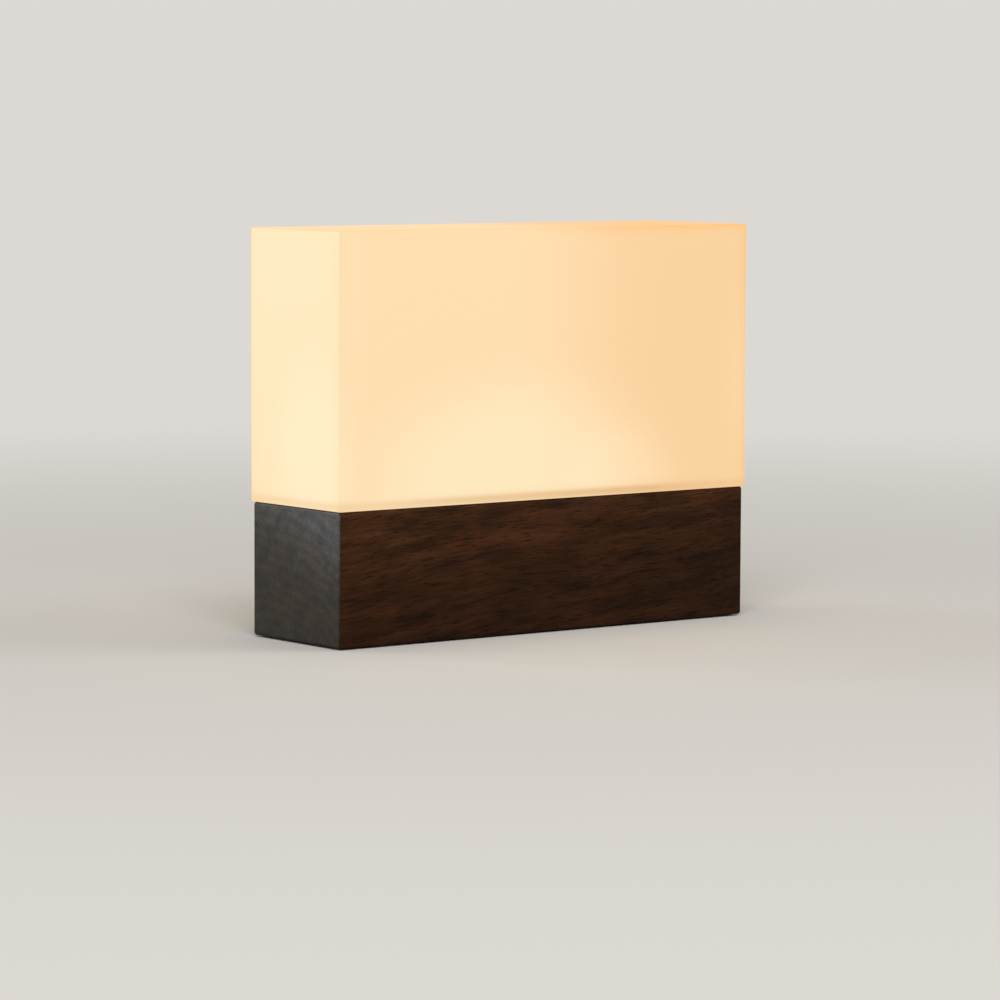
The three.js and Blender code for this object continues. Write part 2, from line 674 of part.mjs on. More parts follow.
// Hexagonal standoffs screwed into the back wall, and the screws that hold the board to them
function boardFixings() {
  const radius = STANDOFF_ACROSS / Math.sqrt(3);
  const hexagon = new THREE.CylinderGeometry(radius, radius, STANDOFF_LENGTH, 6);
  hexagon.translate(0, STANDOFF_LENGTH / 2, 0);
  const studEnd = STANDOFF_LENGTH + STANDOFF_STUD_LENGTH;
  const stud = barY(STANDOFF_STUD_DIAMETER, STANDOFF_LENGTH - SLIP, studEnd, COARSE);
  const depth = BOARD_SCREW_LENGTH - BOARD_THICKNESS;
  const bore = barY(SCREW_DIAMETER + 2 * SLIP, -OVERRUN, depth + AIR, COARSE);
  const standoff = cut(join([hexagon, stud]), [bore]);
  const head = turned([
    [0, -BOARD_SCREW_HEAD_HEIGHT],
    [SCREW_HEAD / 2 - SCREW_TIP, -BOARD_SCREW_HEAD_HEIGHT],
    [SCREW_HEAD / 2, -BOARD_SCREW_HEAD_HEIGHT + SCREW_TIP],
    [SCREW_HEAD / 2, 0],
    [SCREW_DIAMETER / 2, 0],
    [SCREW_DIAMETER / 2, BOARD_SCREW_LENGTH - SCREW_TIP],
    [SCREW_DIAMETER / 2 - SCREW_TIP, BOARD_SCREW_LENGTH],
    [0, BOARD_SCREW_LENGTH],
  ], COARSE);
  const recess = driverRecess(SCREW_HEAD).map((arm) => (
    arm.rotateX(-Math.PI / 2).translate(0, -BOARD_SCREW_HEAD_HEIGHT, 0)
  ));
  const screw = cut(head, recess);
  return standoffPlaces.flatMap(([x, z], i) => [
    piece(`board_standoff_${i + 1}`, standoff, brass, x, 0, z),
    piece(`board_screw_${i + 1}`, screw, zincSteel, x, -BOARD_THICKNESS, z),
  ]);
}

// A part soldered to the front of the board
function frontPart(name, [width, forward, height], [x, z], corner, material) {
  const body = uprightPlate(width, height, corner, -BOARD_THICKNESS - forward, -BOARD_THICKNESS);
  return piece(name, body, material, x, 0, z);
}

// Charging socket: a bent steel shell, open at its mouth, round a block that carries the tongue
function chargingSocket() {
  const mouth = recessFloorY - boardY;
  const shell = cut(
    uprightPlate(PORT_LENGTH, PORT_HEIGHT, PORT_HEIGHT / 2 - SLIP, 0, mouth),
    [uprightPlate(
      PORT_LENGTH - 2 * PORT_SHELL,
      PORT_HEIGHT - 2 * PORT_SHELL,
      PORT_HEIGHT / 2 - PORT_SHELL - SLIP,
      -OVERRUN,
      mouth + OVERRUN,
    )],
  );
  const inside = PORT_SHELL + SLIP;
  const back = uprightPlate(
    PORT_LENGTH - 2 * inside,
    PORT_HEIGHT - 2 * inside,
    PORT_HEIGHT / 2 - inside - SLIP,
    0,
    mouth - PORT_DEPTH,
  );
  const tongue = block(
    [-PORT_TONGUE_LENGTH / 2, mouth - PORT_DEPTH - SLIP, -PORT_TONGUE_THICKNESS / 2],
    [PORT_TONGUE_LENGTH / 2, mouth - PORT_TONGUE_INSET, PORT_TONGUE_THICKNESS / 2],
  );
  return [
    piece('usb_socket_shell', shell, nickel, PORT_SHIFT),
    piece('usb_socket_tongue', join([back, tongue]), blackPlastic, PORT_SHIFT),
  ];
}

// Charge light on the board, and the clear rod that carries it to the face of the wood
function chargeLight() {
  const [width, height, depth] = CHARGE_LED_SIZE;
  const led = block([-width / 2, 0, -depth / 2], [width / 2, height, depth / 2]);
  const start = height + SLIP;
  const end = outerBackY - boardY;
  const radius = LIGHT_PIPE_DIAMETER / 2;
  const pipe = turned([
    [0, start],
    [radius, start],
    [radius, end - LIGHT_PIPE_ROUND],
    [radius - LIGHT_PIPE_ROUND, end],
    [0, end],
  ], COARSE);
  return [
    piece('charge_led', led, ledPhosphor, 0, 0, CHARGE_LIGHT_RISE),
    piece('charge_light_pipe', pipe, clearAcrylic, 0, 0, CHARGE_LIGHT_RISE),
  ];
}

// A round wire wound along Y from zero, as one closed tube
function coil(diameter, wire, length, turns) {
  const steps = Math.round(turns * SPRING_STEPS);
  const points = [];
  const triangles = [];
  for (let i = 0; i <= steps; i += 1) {
    const turn = 2 * Math.PI * i / SPRING_STEPS;
    const middle = wire / 2 + (length - wire) * i / steps;
    for (let j = 0; j < SPRING_SIDES; j += 1) {
      const side = 2 * Math.PI * j / SPRING_SIDES;
      const radius = diameter / 2 + wire / 2 * Math.cos(side);
      points.push(radius * Math.cos(turn), middle + wire / 2 * Math.sin(side), radius * Math.sin(turn));
    }
  }
  const corner = (i, j) => i * SPRING_SIDES + j % SPRING_SIDES;
  for (let i = 0; i < steps; i += 1) {
    for (let j = 0; j < SPRING_SIDES; j += 1) {
      triangles.push(corner(i, j), corner(i, j + 1), corner(i + 1, j));
      triangles.push(corner(i, j + 1), corner(i + 1, j + 1), corner(i + 1, j));
    }
  }
  for (let j = 1; j < SPRING_SIDES - 1; j += 1) {
    triangles.push(corner(0, 0), corner(0, j + 1), corner(0, j));
    triangles.push(corner(steps, 0), corner(steps, j), corner(steps, j + 1));
  }
  const tube = new THREE.BufferGeometry();
  tube.setAttribute('position', new THREE.Float32BufferAttribute(points, 3));
  tube.setIndex(triangles);
  tube.computeVertexNormals();
  return tube;
}

// Push button: cap, plunger and spring on a small switch, all on one axis along Y
function pushButton() {
  const capStart = innerBackY - AIR - FLANGE_THICKNESS - boardY;
  const capLength = outerBackY - BUTTON_INSET - boardY - capStart;
  const radius = BUTTON_DIAMETER / 2;
  const cap = turned([
    [0, 0],
    [FLANGE_DIAMETER / 2, 0],
    [FLANGE_DIAMETER / 2, FLANGE_THICKNESS],
    [radius, FLANGE_THICKNESS],
    [radius, capLength - BUTTON_ROUND],
    [radius - BUTTON_ROUND / 4, capLength - BUTTON_ROUND / 4],
    [radius - BUTTON_ROUND, capLength],
    [0, capLength - BUTTON_HOLLOW],
  ]);
  const seat = PLUNGER_WIDTH / 2 + SLIP;
  const socket = block([-seat, -OVERRUN, -seat], [seat, PLUNGER_SEAT, seat]);
  const bodyHalf = SWITCH_WIDTH / 2;
  const well = PLUNGER_WIDTH / 2 + AIR;
  const housing = cut(
    block([-bodyHalf, 0, -bodyHalf], [bodyHalf, SWITCH_HEIGHT, bodyHalf]),
    [block([-well, SWITCH_FLOOR, -well], [well, SWITCH_HEIGHT + OVERRUN, well])],
  );
  const half = PLUNGER_WIDTH / 2;
  const plunger = block(
    [-half, SWITCH_FLOOR + BUTTON_TRAVEL + AIR, -half],
    [half, capStart + PLUNGER_SEAT - SLIP, half],
  );
  const springLength = capStart - SWITCH_HEIGHT - 2 * SLIP;
  const spring = coil(SPRING_DIAMETER, SPRING_WIRE, springLength, SPRING_TURNS);
  const button = new THREE.Group();
  button.position.x = BUTTON_SHIFT;
  button.add(
    piece('push_switch_housing', housing, blackPlastic),
    piece('push_switch_plunger', plunger, whitePlastic),
    piece('push_switch_spring', spring, zincSteel, 0, SWITCH_HEIGHT + SLIP),
    piece('button_cap', cut(cap, [socket]), blackPlastic, 0, capStart),
  );
  return button;
}

// The control board with everything that stands on it
function electronics() {
  const group = new THREE.Group();
  group.position.set(boardX, boardY, boardZ);
  group.add(
    controlBoard(),
    ...boardFixings(),
    frontPart('charge_chip', CHARGE_CHIP_SIZE, CHARGE_CHIP_PLACE, SLIP, chipEpoxy),
    frontPart('led_driver_chip', DRIVER_CHIP_SIZE, DRIVER_CHIP_PLACE, SLIP, chipEpoxy),
    frontPart('power_inductor', INDUCTOR_SIZE, INDUCTOR_PLACE, INDUCTOR_CORNER, ferrite),
    frontPart('battery_connector', CONNECTOR_SIZE, CONNECTOR_PLACE, AIR, whitePlastic),
    ...chargingSocket(),
    ...chargeLight(),
    pushButton(),
  );
  return group;
}

// Tray on top of the wood: it locates the acrylic, and carries the seal and the LED board
function ledTray() {
  const length = innerLength - 2 * AIR;
  const depth = innerDepth - 2 * AIR;
  const pocketLength = length - 2 * TRAY_RIM;
  const pocketDepth = depth - 2 * TRAY_RIM;
  const groove = SEAL_SECTION + 2 * SLIP - AIR;
  const grooveLow = SEAL_RISE - SLIP / 2;
  const grooveHigh = SEAL_RISE + SEAL_SECTION + SLIP / 2;
  const outside = block([-length, -depth, grooveLow], [length, depth, grooveHigh]);
  const waist = plate(length - 2 * groove, depth - 2 * groove, TRAY_CORNER, 0, TRAY_HEIGHT);
  const screwHole = countersunkHole(SCREW_DIAMETER, SCREW_HEAD, TRAY_SCREW_LENGTH).rotateX(Math.PI);
  const tray = cut(plate(length, depth, TRAY_CORNER, 0, TRAY_HEIGHT), [
    cut(outside, [waist]),
    plate(pocketLength, pocketDepth, TRAY_CORNER, ledBoardTop, TRAY_HEIGHT + OVERRUN),
    plate(
      pocketLength - 2 * TRAY_LEDGE,
      pocketDepth - 2 * TRAY_LEDGE,
      TRAY_CORNER,
      TRAY_PLATE,
      TRAY_HEIGHT + OVERRUN,
    ),
    screwHole.clone().translate(-trayScrewX, 0, TRAY_PLATE),
    screwHole.clone().translate(trayScrewX, 0, TRAY_PLATE),
    barZ(WIRE_HOLE_DIAMETER, -OVERRUN, TRAY_HEIGHT).translate(boardX, wireHoleY, 0),
  ]);
  const screw = countersunkScrew(SCREW_DIAMETER, SCREW_HEAD, TRAY_SCREW_LENGTH).rotateX(Math.PI);
  return [
    piece('led_tray', tray, whitePlastic),
    piece('tray_screw_left', screw, zincSteel, -trayScrewX, 0, TRAY_PLATE),
    piece('tray_screw_right', screw, zincSteel, trayScrewX, 0, TRAY_PLATE),
  ];
}

// Silicone ring between the tray's rim and the acrylic
function diffuserSeal() {
  const length = innerLength - 2 * SLIP;
  const depth = innerDepth - 2 * SLIP;
  const opening = plate(
    length - 2 * SEAL_SECTION,
    depth - 2 * SEAL_SECTION,
    TRAY_CORNER,
    -OVERRUN,
    SEAL_SECTION + OVERRUN,
  );
  const ring = cut(plate(length, depth, TRAY_CORNER, 0, SEAL_SECTION), [opening]);
  return piece('diffuser_seal', ring, siliconeRubber, 0, 0, SEAL_RISE);
}

const ledPlaces = Array.from({ length: LED_COUNT }, (_, i) => (i - (LED_COUNT - 1) / 2) * LED_PITCH);

// LED board with its row of LEDs, and the white film with a window round each one
function lightSource() {
  const boardHalf = LED_COUNT * LED_PITCH / 2;
  const board = block(
    [-boardHalf, -LED_BOARD_DEPTH / 2, TRAY_PLATE],
    [boardHalf, LED_BOARD_DEPTH / 2, ledBoardTop],
  );
  const [x, y] = [LED_LENGTH / 2, LED_DEPTH / 2];
  const outline = new THREE.Shape([
    new THREE.Vector2(-x, -y),
    new THREE.Vector2(x, -y),
    new THREE.Vector2(x, y),
    new THREE.Vector2(-x + LED_CORNER, y),
    new THREE.Vector2(-x, y - LED_CORNER),
  ]);
  const led = extruded(outline, LED_HEIGHT);
  const top = ledBoardTop + REFLECTOR_THICKNESS;
  const windows = ledPlaces.map((place) => block(
    [place - x - AIR, -y - AIR, ledBoardTop - OVERRUN],
    [place + x + AIR, y + AIR, top + OVERRUN],
  ));
  const sheetLength = innerLength - 2 * (AIR + TRAY_RIM + AIR);
  const sheetDepth = innerDepth - 2 * (AIR + TRAY_RIM + AIR);
  const sheet = cut(plate(sheetLength, sheetDepth, TRAY_CORNER, ledBoardTop, top), windows);
  return [
    piece('led_board', board, whiteBoard),
    ...ledPlaces.map((place, i) => piece(`led_${i + 1}`, led, ledPhosphor, place, 0, ledBoardTop)),
    piece('reflector_sheet', sheet, whiteFilm),
  ];
}

// Box of opal acrylic, open below, standing on the wood round the tray
function diffuser() {
  const outside = new RoundedBoxGeometry(
    DIFFUSER_LENGTH,
    DIFFUSER_DEPTH,
    DIFFUSER_HEIGHT,
    1,
    DIFFUSER_EDGE,
  ).translate(0, 0, DIFFUSER_HEIGHT / 2);
  const inside = block(
    [-innerLength / 2, -innerDepth / 2, -OVERRUN],
    [innerLength / 2, innerDepth / 2, DIFFUSER_HEIGHT - DIFFUSER_WALL],
  );
  return piece('diffuser', cut(outside, [inside]), opalAcrylic);
}

// Everything in the wood and under it, from the underside of the wood
const base = new THREE.Group();
base.position.z = FOOT_STAND;
base.add(
  piece('walnut_base', walnutBase(), oiledWalnut),
  bottomCover(),
  ...coverScrews(),
  ...coverInserts(),
  ...feet(),
  batteryCell(),
  batteryCradle(),
  batteryFoamPad(),
  ...batteryTabs(),
  ...batteryLeads(),
  ...ledLeads(),
  electronics(),
);

// Everything on the wood, from its upper face
const head = new THREE.Group();
head.position.z = FOOT_STAND + BASE_HEIGHT;
head.add(...ledTray(), diffuserSeal(), ...lightSource(), diffuser());

const light = new THREE.Group();
light.add(base, head);

export default light;
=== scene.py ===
import json
import math

import bmesh
import bpy
from mathutils import Matrix, Vector


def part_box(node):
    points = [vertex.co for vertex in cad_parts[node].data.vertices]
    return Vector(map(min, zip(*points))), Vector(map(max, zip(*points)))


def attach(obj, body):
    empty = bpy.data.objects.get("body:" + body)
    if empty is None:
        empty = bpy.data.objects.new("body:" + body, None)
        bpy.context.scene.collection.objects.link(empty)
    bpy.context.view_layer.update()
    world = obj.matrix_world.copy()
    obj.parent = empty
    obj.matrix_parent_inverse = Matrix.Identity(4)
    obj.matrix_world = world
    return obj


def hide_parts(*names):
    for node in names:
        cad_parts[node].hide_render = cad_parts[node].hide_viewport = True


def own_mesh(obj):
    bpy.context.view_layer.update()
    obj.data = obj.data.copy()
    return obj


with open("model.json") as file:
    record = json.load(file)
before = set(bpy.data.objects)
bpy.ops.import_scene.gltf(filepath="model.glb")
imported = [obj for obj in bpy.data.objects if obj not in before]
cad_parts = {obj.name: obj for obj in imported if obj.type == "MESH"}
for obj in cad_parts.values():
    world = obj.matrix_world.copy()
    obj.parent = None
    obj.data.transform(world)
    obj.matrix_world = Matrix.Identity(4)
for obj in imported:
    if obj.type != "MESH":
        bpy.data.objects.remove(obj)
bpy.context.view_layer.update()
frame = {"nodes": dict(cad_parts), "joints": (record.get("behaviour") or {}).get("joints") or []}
MM = 0.001


# Camera. A long lens a metre away, a little above the light, which looks at the front and the
# left end of the block. Its place and its slight roll come from the straight edges of the block.
EYE = Vector((-637.0, -820.9, 124.0)) * MM
YAW, PITCH, ROLL = (math.radians(angle) for angle in (37.77, -5.18, 0.25))
SENSOR = 36.0  # its width
FOCAL_PIXELS, IMAGE_PIXELS = 4425.0, 1000.0  # focal length and width of the picture, in pixels
NEAREST = 10.0 * MM

lens = bpy.data.cameras.new("camera")
lens.sensor_width = SENSOR
lens.lens = FOCAL_PIXELS * SENSOR / IMAGE_PIXELS
lens.clip_start = NEAREST
camera = bpy.data.objects.new("camera", lens)
aimed = Matrix.Rotation(-YAW, 4, "Z") @ Matrix.Rotation(math.pi / 2 + PITCH, 4, "X")
camera.matrix_world = Matrix.Translation(EYE) @ aimed @ Matrix.Rotation(ROLL, 4, "Z")
bpy.context.scene.collection.objects.link(camera)
bpy.context.scene.camera = camera


# Walnut base. One block of black walnut, sawn along the grain, sanded and oiled, with its edges
# eased. It is milled out from below for the battery and the control board, and from behind for
# the charging socket and the push button.
EASE = 0.7  # round of the outer edges
DECK, SIDE_WALL, END_WALL = 4.0, 5.0, 11.15  # wood above, beside and beyond the cavity
MILL_RADIUS = 3.0  # left in inner corners by the cutter
COVER_GAP = 0.2
SLIP, AIR = 0.15, 0.3  # round a piece in its own hole, and round one that slides
OVERRUN = 1.0  # a cutter past the face that it cuts
INSERT_RELIEF = 1.0  # free depth above a threaded insert
WIRE_HOLE, WIRE_HOLE_AHEAD = 5.0, 4.5  # its width, and its place in front of the control board
SMALL_SCREW, STUD = 2.2, 2.0
PORT_RECESS, PORT_RECESS_CORNER = (13.0, 7.4), 3.55
CAP_DIAMETER, DISH_DIAMETER = 8.0, 12.0
LIP = 0.35  # eased rim round what is sunk into the back
SHARP = 0.02  # radius of a corner that looks sharp
WELD = 0.0001  # points closer than this are one
CREASE = 35  # degrees between faces from which their edge stays sharp


def low(node):
    """The lowest corner of a CAD node at rest, in millimetres."""
    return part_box(node)[0] / MM


def high(node):
    """The highest corner of a CAD node at rest, in millimetres."""
    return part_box(node)[1] / MM


def middle(node):
    """The middle of a CAD node's box, in millimetres."""
    return (low(node) + high(node)) / 2


def span(node):
    """The size of a CAD node's box, in millimetres."""
    return high(node) - low(node)


def grown(size, gap):
    """A size with a gap added on every side."""
    return [side + 2 * gap for side in size]


def arc(centre, radius, start, end, steps=4):
    """Points of a profile on an arc, between two angles in degrees."""
    angles = [math.radians(start + (end - start) * i / steps) for i in range(steps + 1)]
    return [(centre[0] + radius * math.cos(a), centre[1] + radius * math.sin(a)) for a in angles]


def rounded(size, corner, profile, facing="Z", axis=(0, 0, 0), steps=6):
    """Loops of points round a rectangle with rounded corners, one for each (outset, along) of the
    profile, about an axis that runs along Z or Y."""
    loops = []
    for outset, along in profile:
        half = [side / 2 + outset for side in size]
        radius = min(max(corner + outset, SHARP), *half)
        loop = []
        for i, (right, up) in enumerate(((1, 1), (-1, 1), (-1, -1), (1, -1))):
            for step in range(steps + 1):
                angle = math.pi / 2 * (i + step / steps)
                across = axis[0] + right * (half[0] - radius) + radius * math.cos(angle)
                rise = up * (half[1] - radius) + radius * math.sin(angle)
                on_z = (across, axis[1] + rise, along)
                on_y = (across, along, axis[2] + rise)
                loop.append(Vector(on_z if facing == "Z" else on_y) * MM)
        loops.append(loop)
    return loops


def make_piece(name, *skins, tube=False):
    """One object from skins, each stretched over its loops from first to last. The ends are
    capped, or joined to each other in a tube."""
    mesh = bmesh.new()
    for loops in skins:
        rings = [[mesh.verts.new(point) for point in loop] for loop in loops]
        pairs = list(zip(rings, rings[1:]))
        if tube:
            pairs.append((rings[-1], rings[0]))
        else:
            mesh.faces.new(rings[0])
            mesh.faces.new(rings[-1])
        for one, other in pairs:
            for i in range(len(one)):
                j = (i + 1) % len(one)
                mesh.faces.new((one[i], one[j], other[j], other[i]))
    bmesh.ops.remove_doubles(mesh, verts=mesh.verts, dist=WELD * MM)
    bmesh.ops.recalc_face_normals(mesh, faces=mesh.faces)
    data = bpy.data.meshes.new(name)
    mesh.to_mesh(data)
    mesh.free()
    made = bpy.data.objects.new(name, data)
    bpy.context.scene.collection.objects.link(made)
    return made


def settle(made):
    """Applies a piece's modifiers."""
    graph = bpy.context.evaluated_depsgraph_get()
    data = bpy.data.meshes.new_from_object(made.evaluated_get(graph))
    made.modifiers.clear()
    made.data = data


def carve(made, *skins):
    """Cuts skins out of a piece."""
    cutters = [make_piece(f"cutter_{i}", skin) for i, skin in enumerate(skins)]
    for cutter in cutters:
        change = made.modifiers.new("cut", "BOOLEAN")
        change.operation = "DIFFERENCE"
        change.solver = "EXACT"
        change.object = cutter
    settle(made)
    for cutter in cutters:
        bpy.data.objects.remove(cutter)


def smooth(made):
    """Smooth shading over the rounds, with sharp creases and flat faces kept as they are."""
    made.data.shade_smooth()
    made.data.set_sharp_from_angle(angle=math.radians(CREASE))
    weigh = made.modifiers.new("weigh", "WEIGHTED_NORMAL")
    weigh.keep_sharp = True
    settle(made)


def dress(made, finish, body="lamp_body", nodes=()):
    """Gives a piece its finish, its body and the CAD nodes that it stands for."""
    made.data.materials.clear()
    made.data.materials.append(finish)
    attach(made, body)
    if nodes:
        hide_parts(*nodes)


def disc(diameter, profile, facing="Z", axis=(0, 0, 0), steps=16):
    """The loops of a round skin, whose profile gives outsets from its diameter."""
    return rounded((diameter, diameter), diameter / 2, profile, facing, axis, steps)


def bore(diameter, start, end, axis, facing="Z"):
    """The loops of a straight round hole."""
    return disc(diameter, [(0, start), (0, end)], facing, axis)


def sunk(size, corner, axis):
    """A pocket in the back of the wood, with an eased rim and a small round at its floor."""
    floor_round = arc((-LIP, RECESS_FLOOR + LIP), LIP, -90, 0)
    rim = arc((LIP, WOOD_HIGH.y - LIP), LIP, 180, 90)
    profile = [*floor_round, *rim, (LIP, WOOD_HIGH.y + OVERRUN)]
    return rounded(size, corner, profile, "Y", axis, 16)


WOOD_LOW, WOOD_HIGH = low("walnut_base"), high("walnut_base")
CEILING = WOOD_HIGH.z - DECK
WALL_INSIDE = WOOD_HIGH.y - SIDE_WALL
RECESS_FLOOR = high("usb_socket_shell").y
PORT, BUTTON, LIGHT = middle("usb_socket_shell"), middle("button_cap"), middle("charge_light_pipe")
WIRE_WAY = Vector((middle("control_board").x, low("control_board").y - WIRE_HOLE_AHEAD, 0))
INSERTS = [f"cover_insert_{i}" for i in range(1, 5)]
PILOT = SMALL_SCREW + 2 * SLIP

walnut_base = make_piece("walnut_block", rounded(
    size=span("walnut_base").xy,
    corner=EASE,
    profile=[
        *arc((-EASE, WOOD_LOW.z + EASE), EASE, -90, 0, 6),
        *arc((-EASE, WOOD_HIGH.z - EASE), EASE, 0, 90, 6),
    ],
))
carve(
    walnut_base,
    rounded(grown(span("bottom_cover").xy, COVER_GAP), MILL_RADIUS,
            [(0, WOOD_LOW.z - OVERRUN), (0, high("bottom_cover").z)]),
    rounded((2 * (WOOD_HIGH.x - END_WALL), 2 * WALL_INSIDE), MILL_RADIUS,
            [(0, WOOD_LOW.z + OVERRUN), (0, CEILING)]),
    bore(WIRE_HOLE, CEILING - OVERRUN, WOOD_HIGH.z + OVERRUN, WIRE_WAY),
    *[bore(span(insert).x + 2 * SLIP, WOOD_LOW.z + OVERRUN, high(insert).z + INSERT_RELIEF,
           middle(insert)) for insert in INSERTS],
    *[bore(PILOT, low(screw).z - SLIP, WOOD_HIGH.z + OVERRUN, middle(screw))
      for screw in ("tray_screw_left", "tray_screw_right")],
    *[bore(PILOT, CEILING - OVERRUN, high(screw).z + SLIP, middle(screw))
      for screw in ("cradle_screw_left", "cradle_screw_right")],
    *[bore(STUD + 2 * SLIP, WALL_INSIDE - OVERRUN, high(standoff).y + SLIP, middle(standoff), "Y")
      for standoff in ("board_standoff_1", "board_standoff_2")],
    rounded(grown(span("usb_socket_shell").xz, AIR), span("usb_socket_shell").z / 2,
            [(0, WALL_INSIDE - OVERRUN), (0, RECESS_FLOOR + OVERRUN)], "Y", PORT),
    sunk(PORT_RECESS, PORT_RECESS_CORNER, PORT),
    bore(CAP_DIAMETER + 2 * AIR, WALL_INSIDE - OVERRUN, RECESS_FLOOR + OVERRUN, BUTTON, "Y"),
    sunk((DISH_DIAMETER, DISH_DIAMETER), DISH_DIAMETER / 2, BUTTON),
    bore(span("charge_light_pipe").x + 2 * SLIP, WALL_INSIDE - OVERRUN, WOOD_HIGH.y + OVERRUN,
         LIGHT, "Y"),
)
smooth(walnut_base)


def linear(code):
    """An sRGB hex colour as the linear colour that a shader takes."""
    levels = [int(code[i:i + 2], 16) / 255 for i in (1, 3, 5)]
    return [v / 12.92 if v <= 0.04045 else ((v + 0.055) / 1.055) ** 2.4 for v in levels] + [1.0]


def add(tree, kind, inputs=None, stops=None, **settings):
    """Adds a shader node, with its settings, its inputs set or linked, and a ramp's stops."""
    made = tree.nodes.new("ShaderNode" + kind)
    for name, value in settings.items():
        setattr(made, name, value)
    for name, value in (inputs or {}).items():
        if isinstance(value, bpy.types.NodeSocket):
            tree.links.new(value, made.inputs[name])
        else:
            made.inputs[name].default_value = value
    if stops:
        points = made.color_ramp.elements
        while len(points) < len(stops):
            points.new(0.5)
        for point, (place, level) in zip(points, stops):
            point.position = place
            point.color = linear(level) if isinstance(level, str) else (level, level, level, 1)
    return made


def start_finish(name):
    """A material with its shader, and the place on the object in millimetres."""
    finish = bpy.data.materials.new(name)
    finish.use_nodes = True
    tree = finish.node_tree
    seat = add(tree, "TexCoord")
    place = add(tree, "VectorMath", {0: seat.outputs["Object"], "Scale": 1 / MM}, operation="SCALE")
    return finish, tree, tree.nodes["Principled BSDF"], place.outputs[0]


def around(centre, share):
    """The outputs of a range that swings about a centre by a share of it."""
    return {"To Min": centre * (1 - share), "To Max": centre * (1 + share)}


MOST = {"From Min": 0.3, "From Max": 0.7}  # nearly all of a noise lies between these levels
HEART = (0.0, 14.0, -38.0)  # where the heart of the tree lay
RING_WIDTH, RING_WAVES = 2.8, 5.0  # width of a year's growth, and how far the rings waver
GRAIN_CLIMB = 5.0  # degrees along the block
WANDER, WANDER_LENGTH = 6.0, 50.0  # how far the grain drifts to and fro, and in what length
BAND_SIZE, CLOUD_SIZE = (28.0, 4.0, 3.0), (14.0, 7.0, 7.0)  # along, across and up the grain
PORE_WIDTH, PORE_DEPTH, PORE_SHADE, PORE_ROUGHER = 0.26, 0.06, 0.65, 0.2
PORES_IN_DARK, PORES_IN_PALE, PORE_LIP = 0.54, 0.62, 0.05  # noise levels from which a pore opens
FIBRE_WIDTH, FIBRE_CONTRAST, FIBRE_RELIEF = 0.2, 0.18, 0.33  # its relief is a share of a pore's depth
STREAK_WIDTH, STREAK_CONTRAST = 0.8, 0.14
BLUSH = 0.7  # how red the clouds turn
END_FACING = 0.75  # least share of a face's direction along the grain where it shows end grain


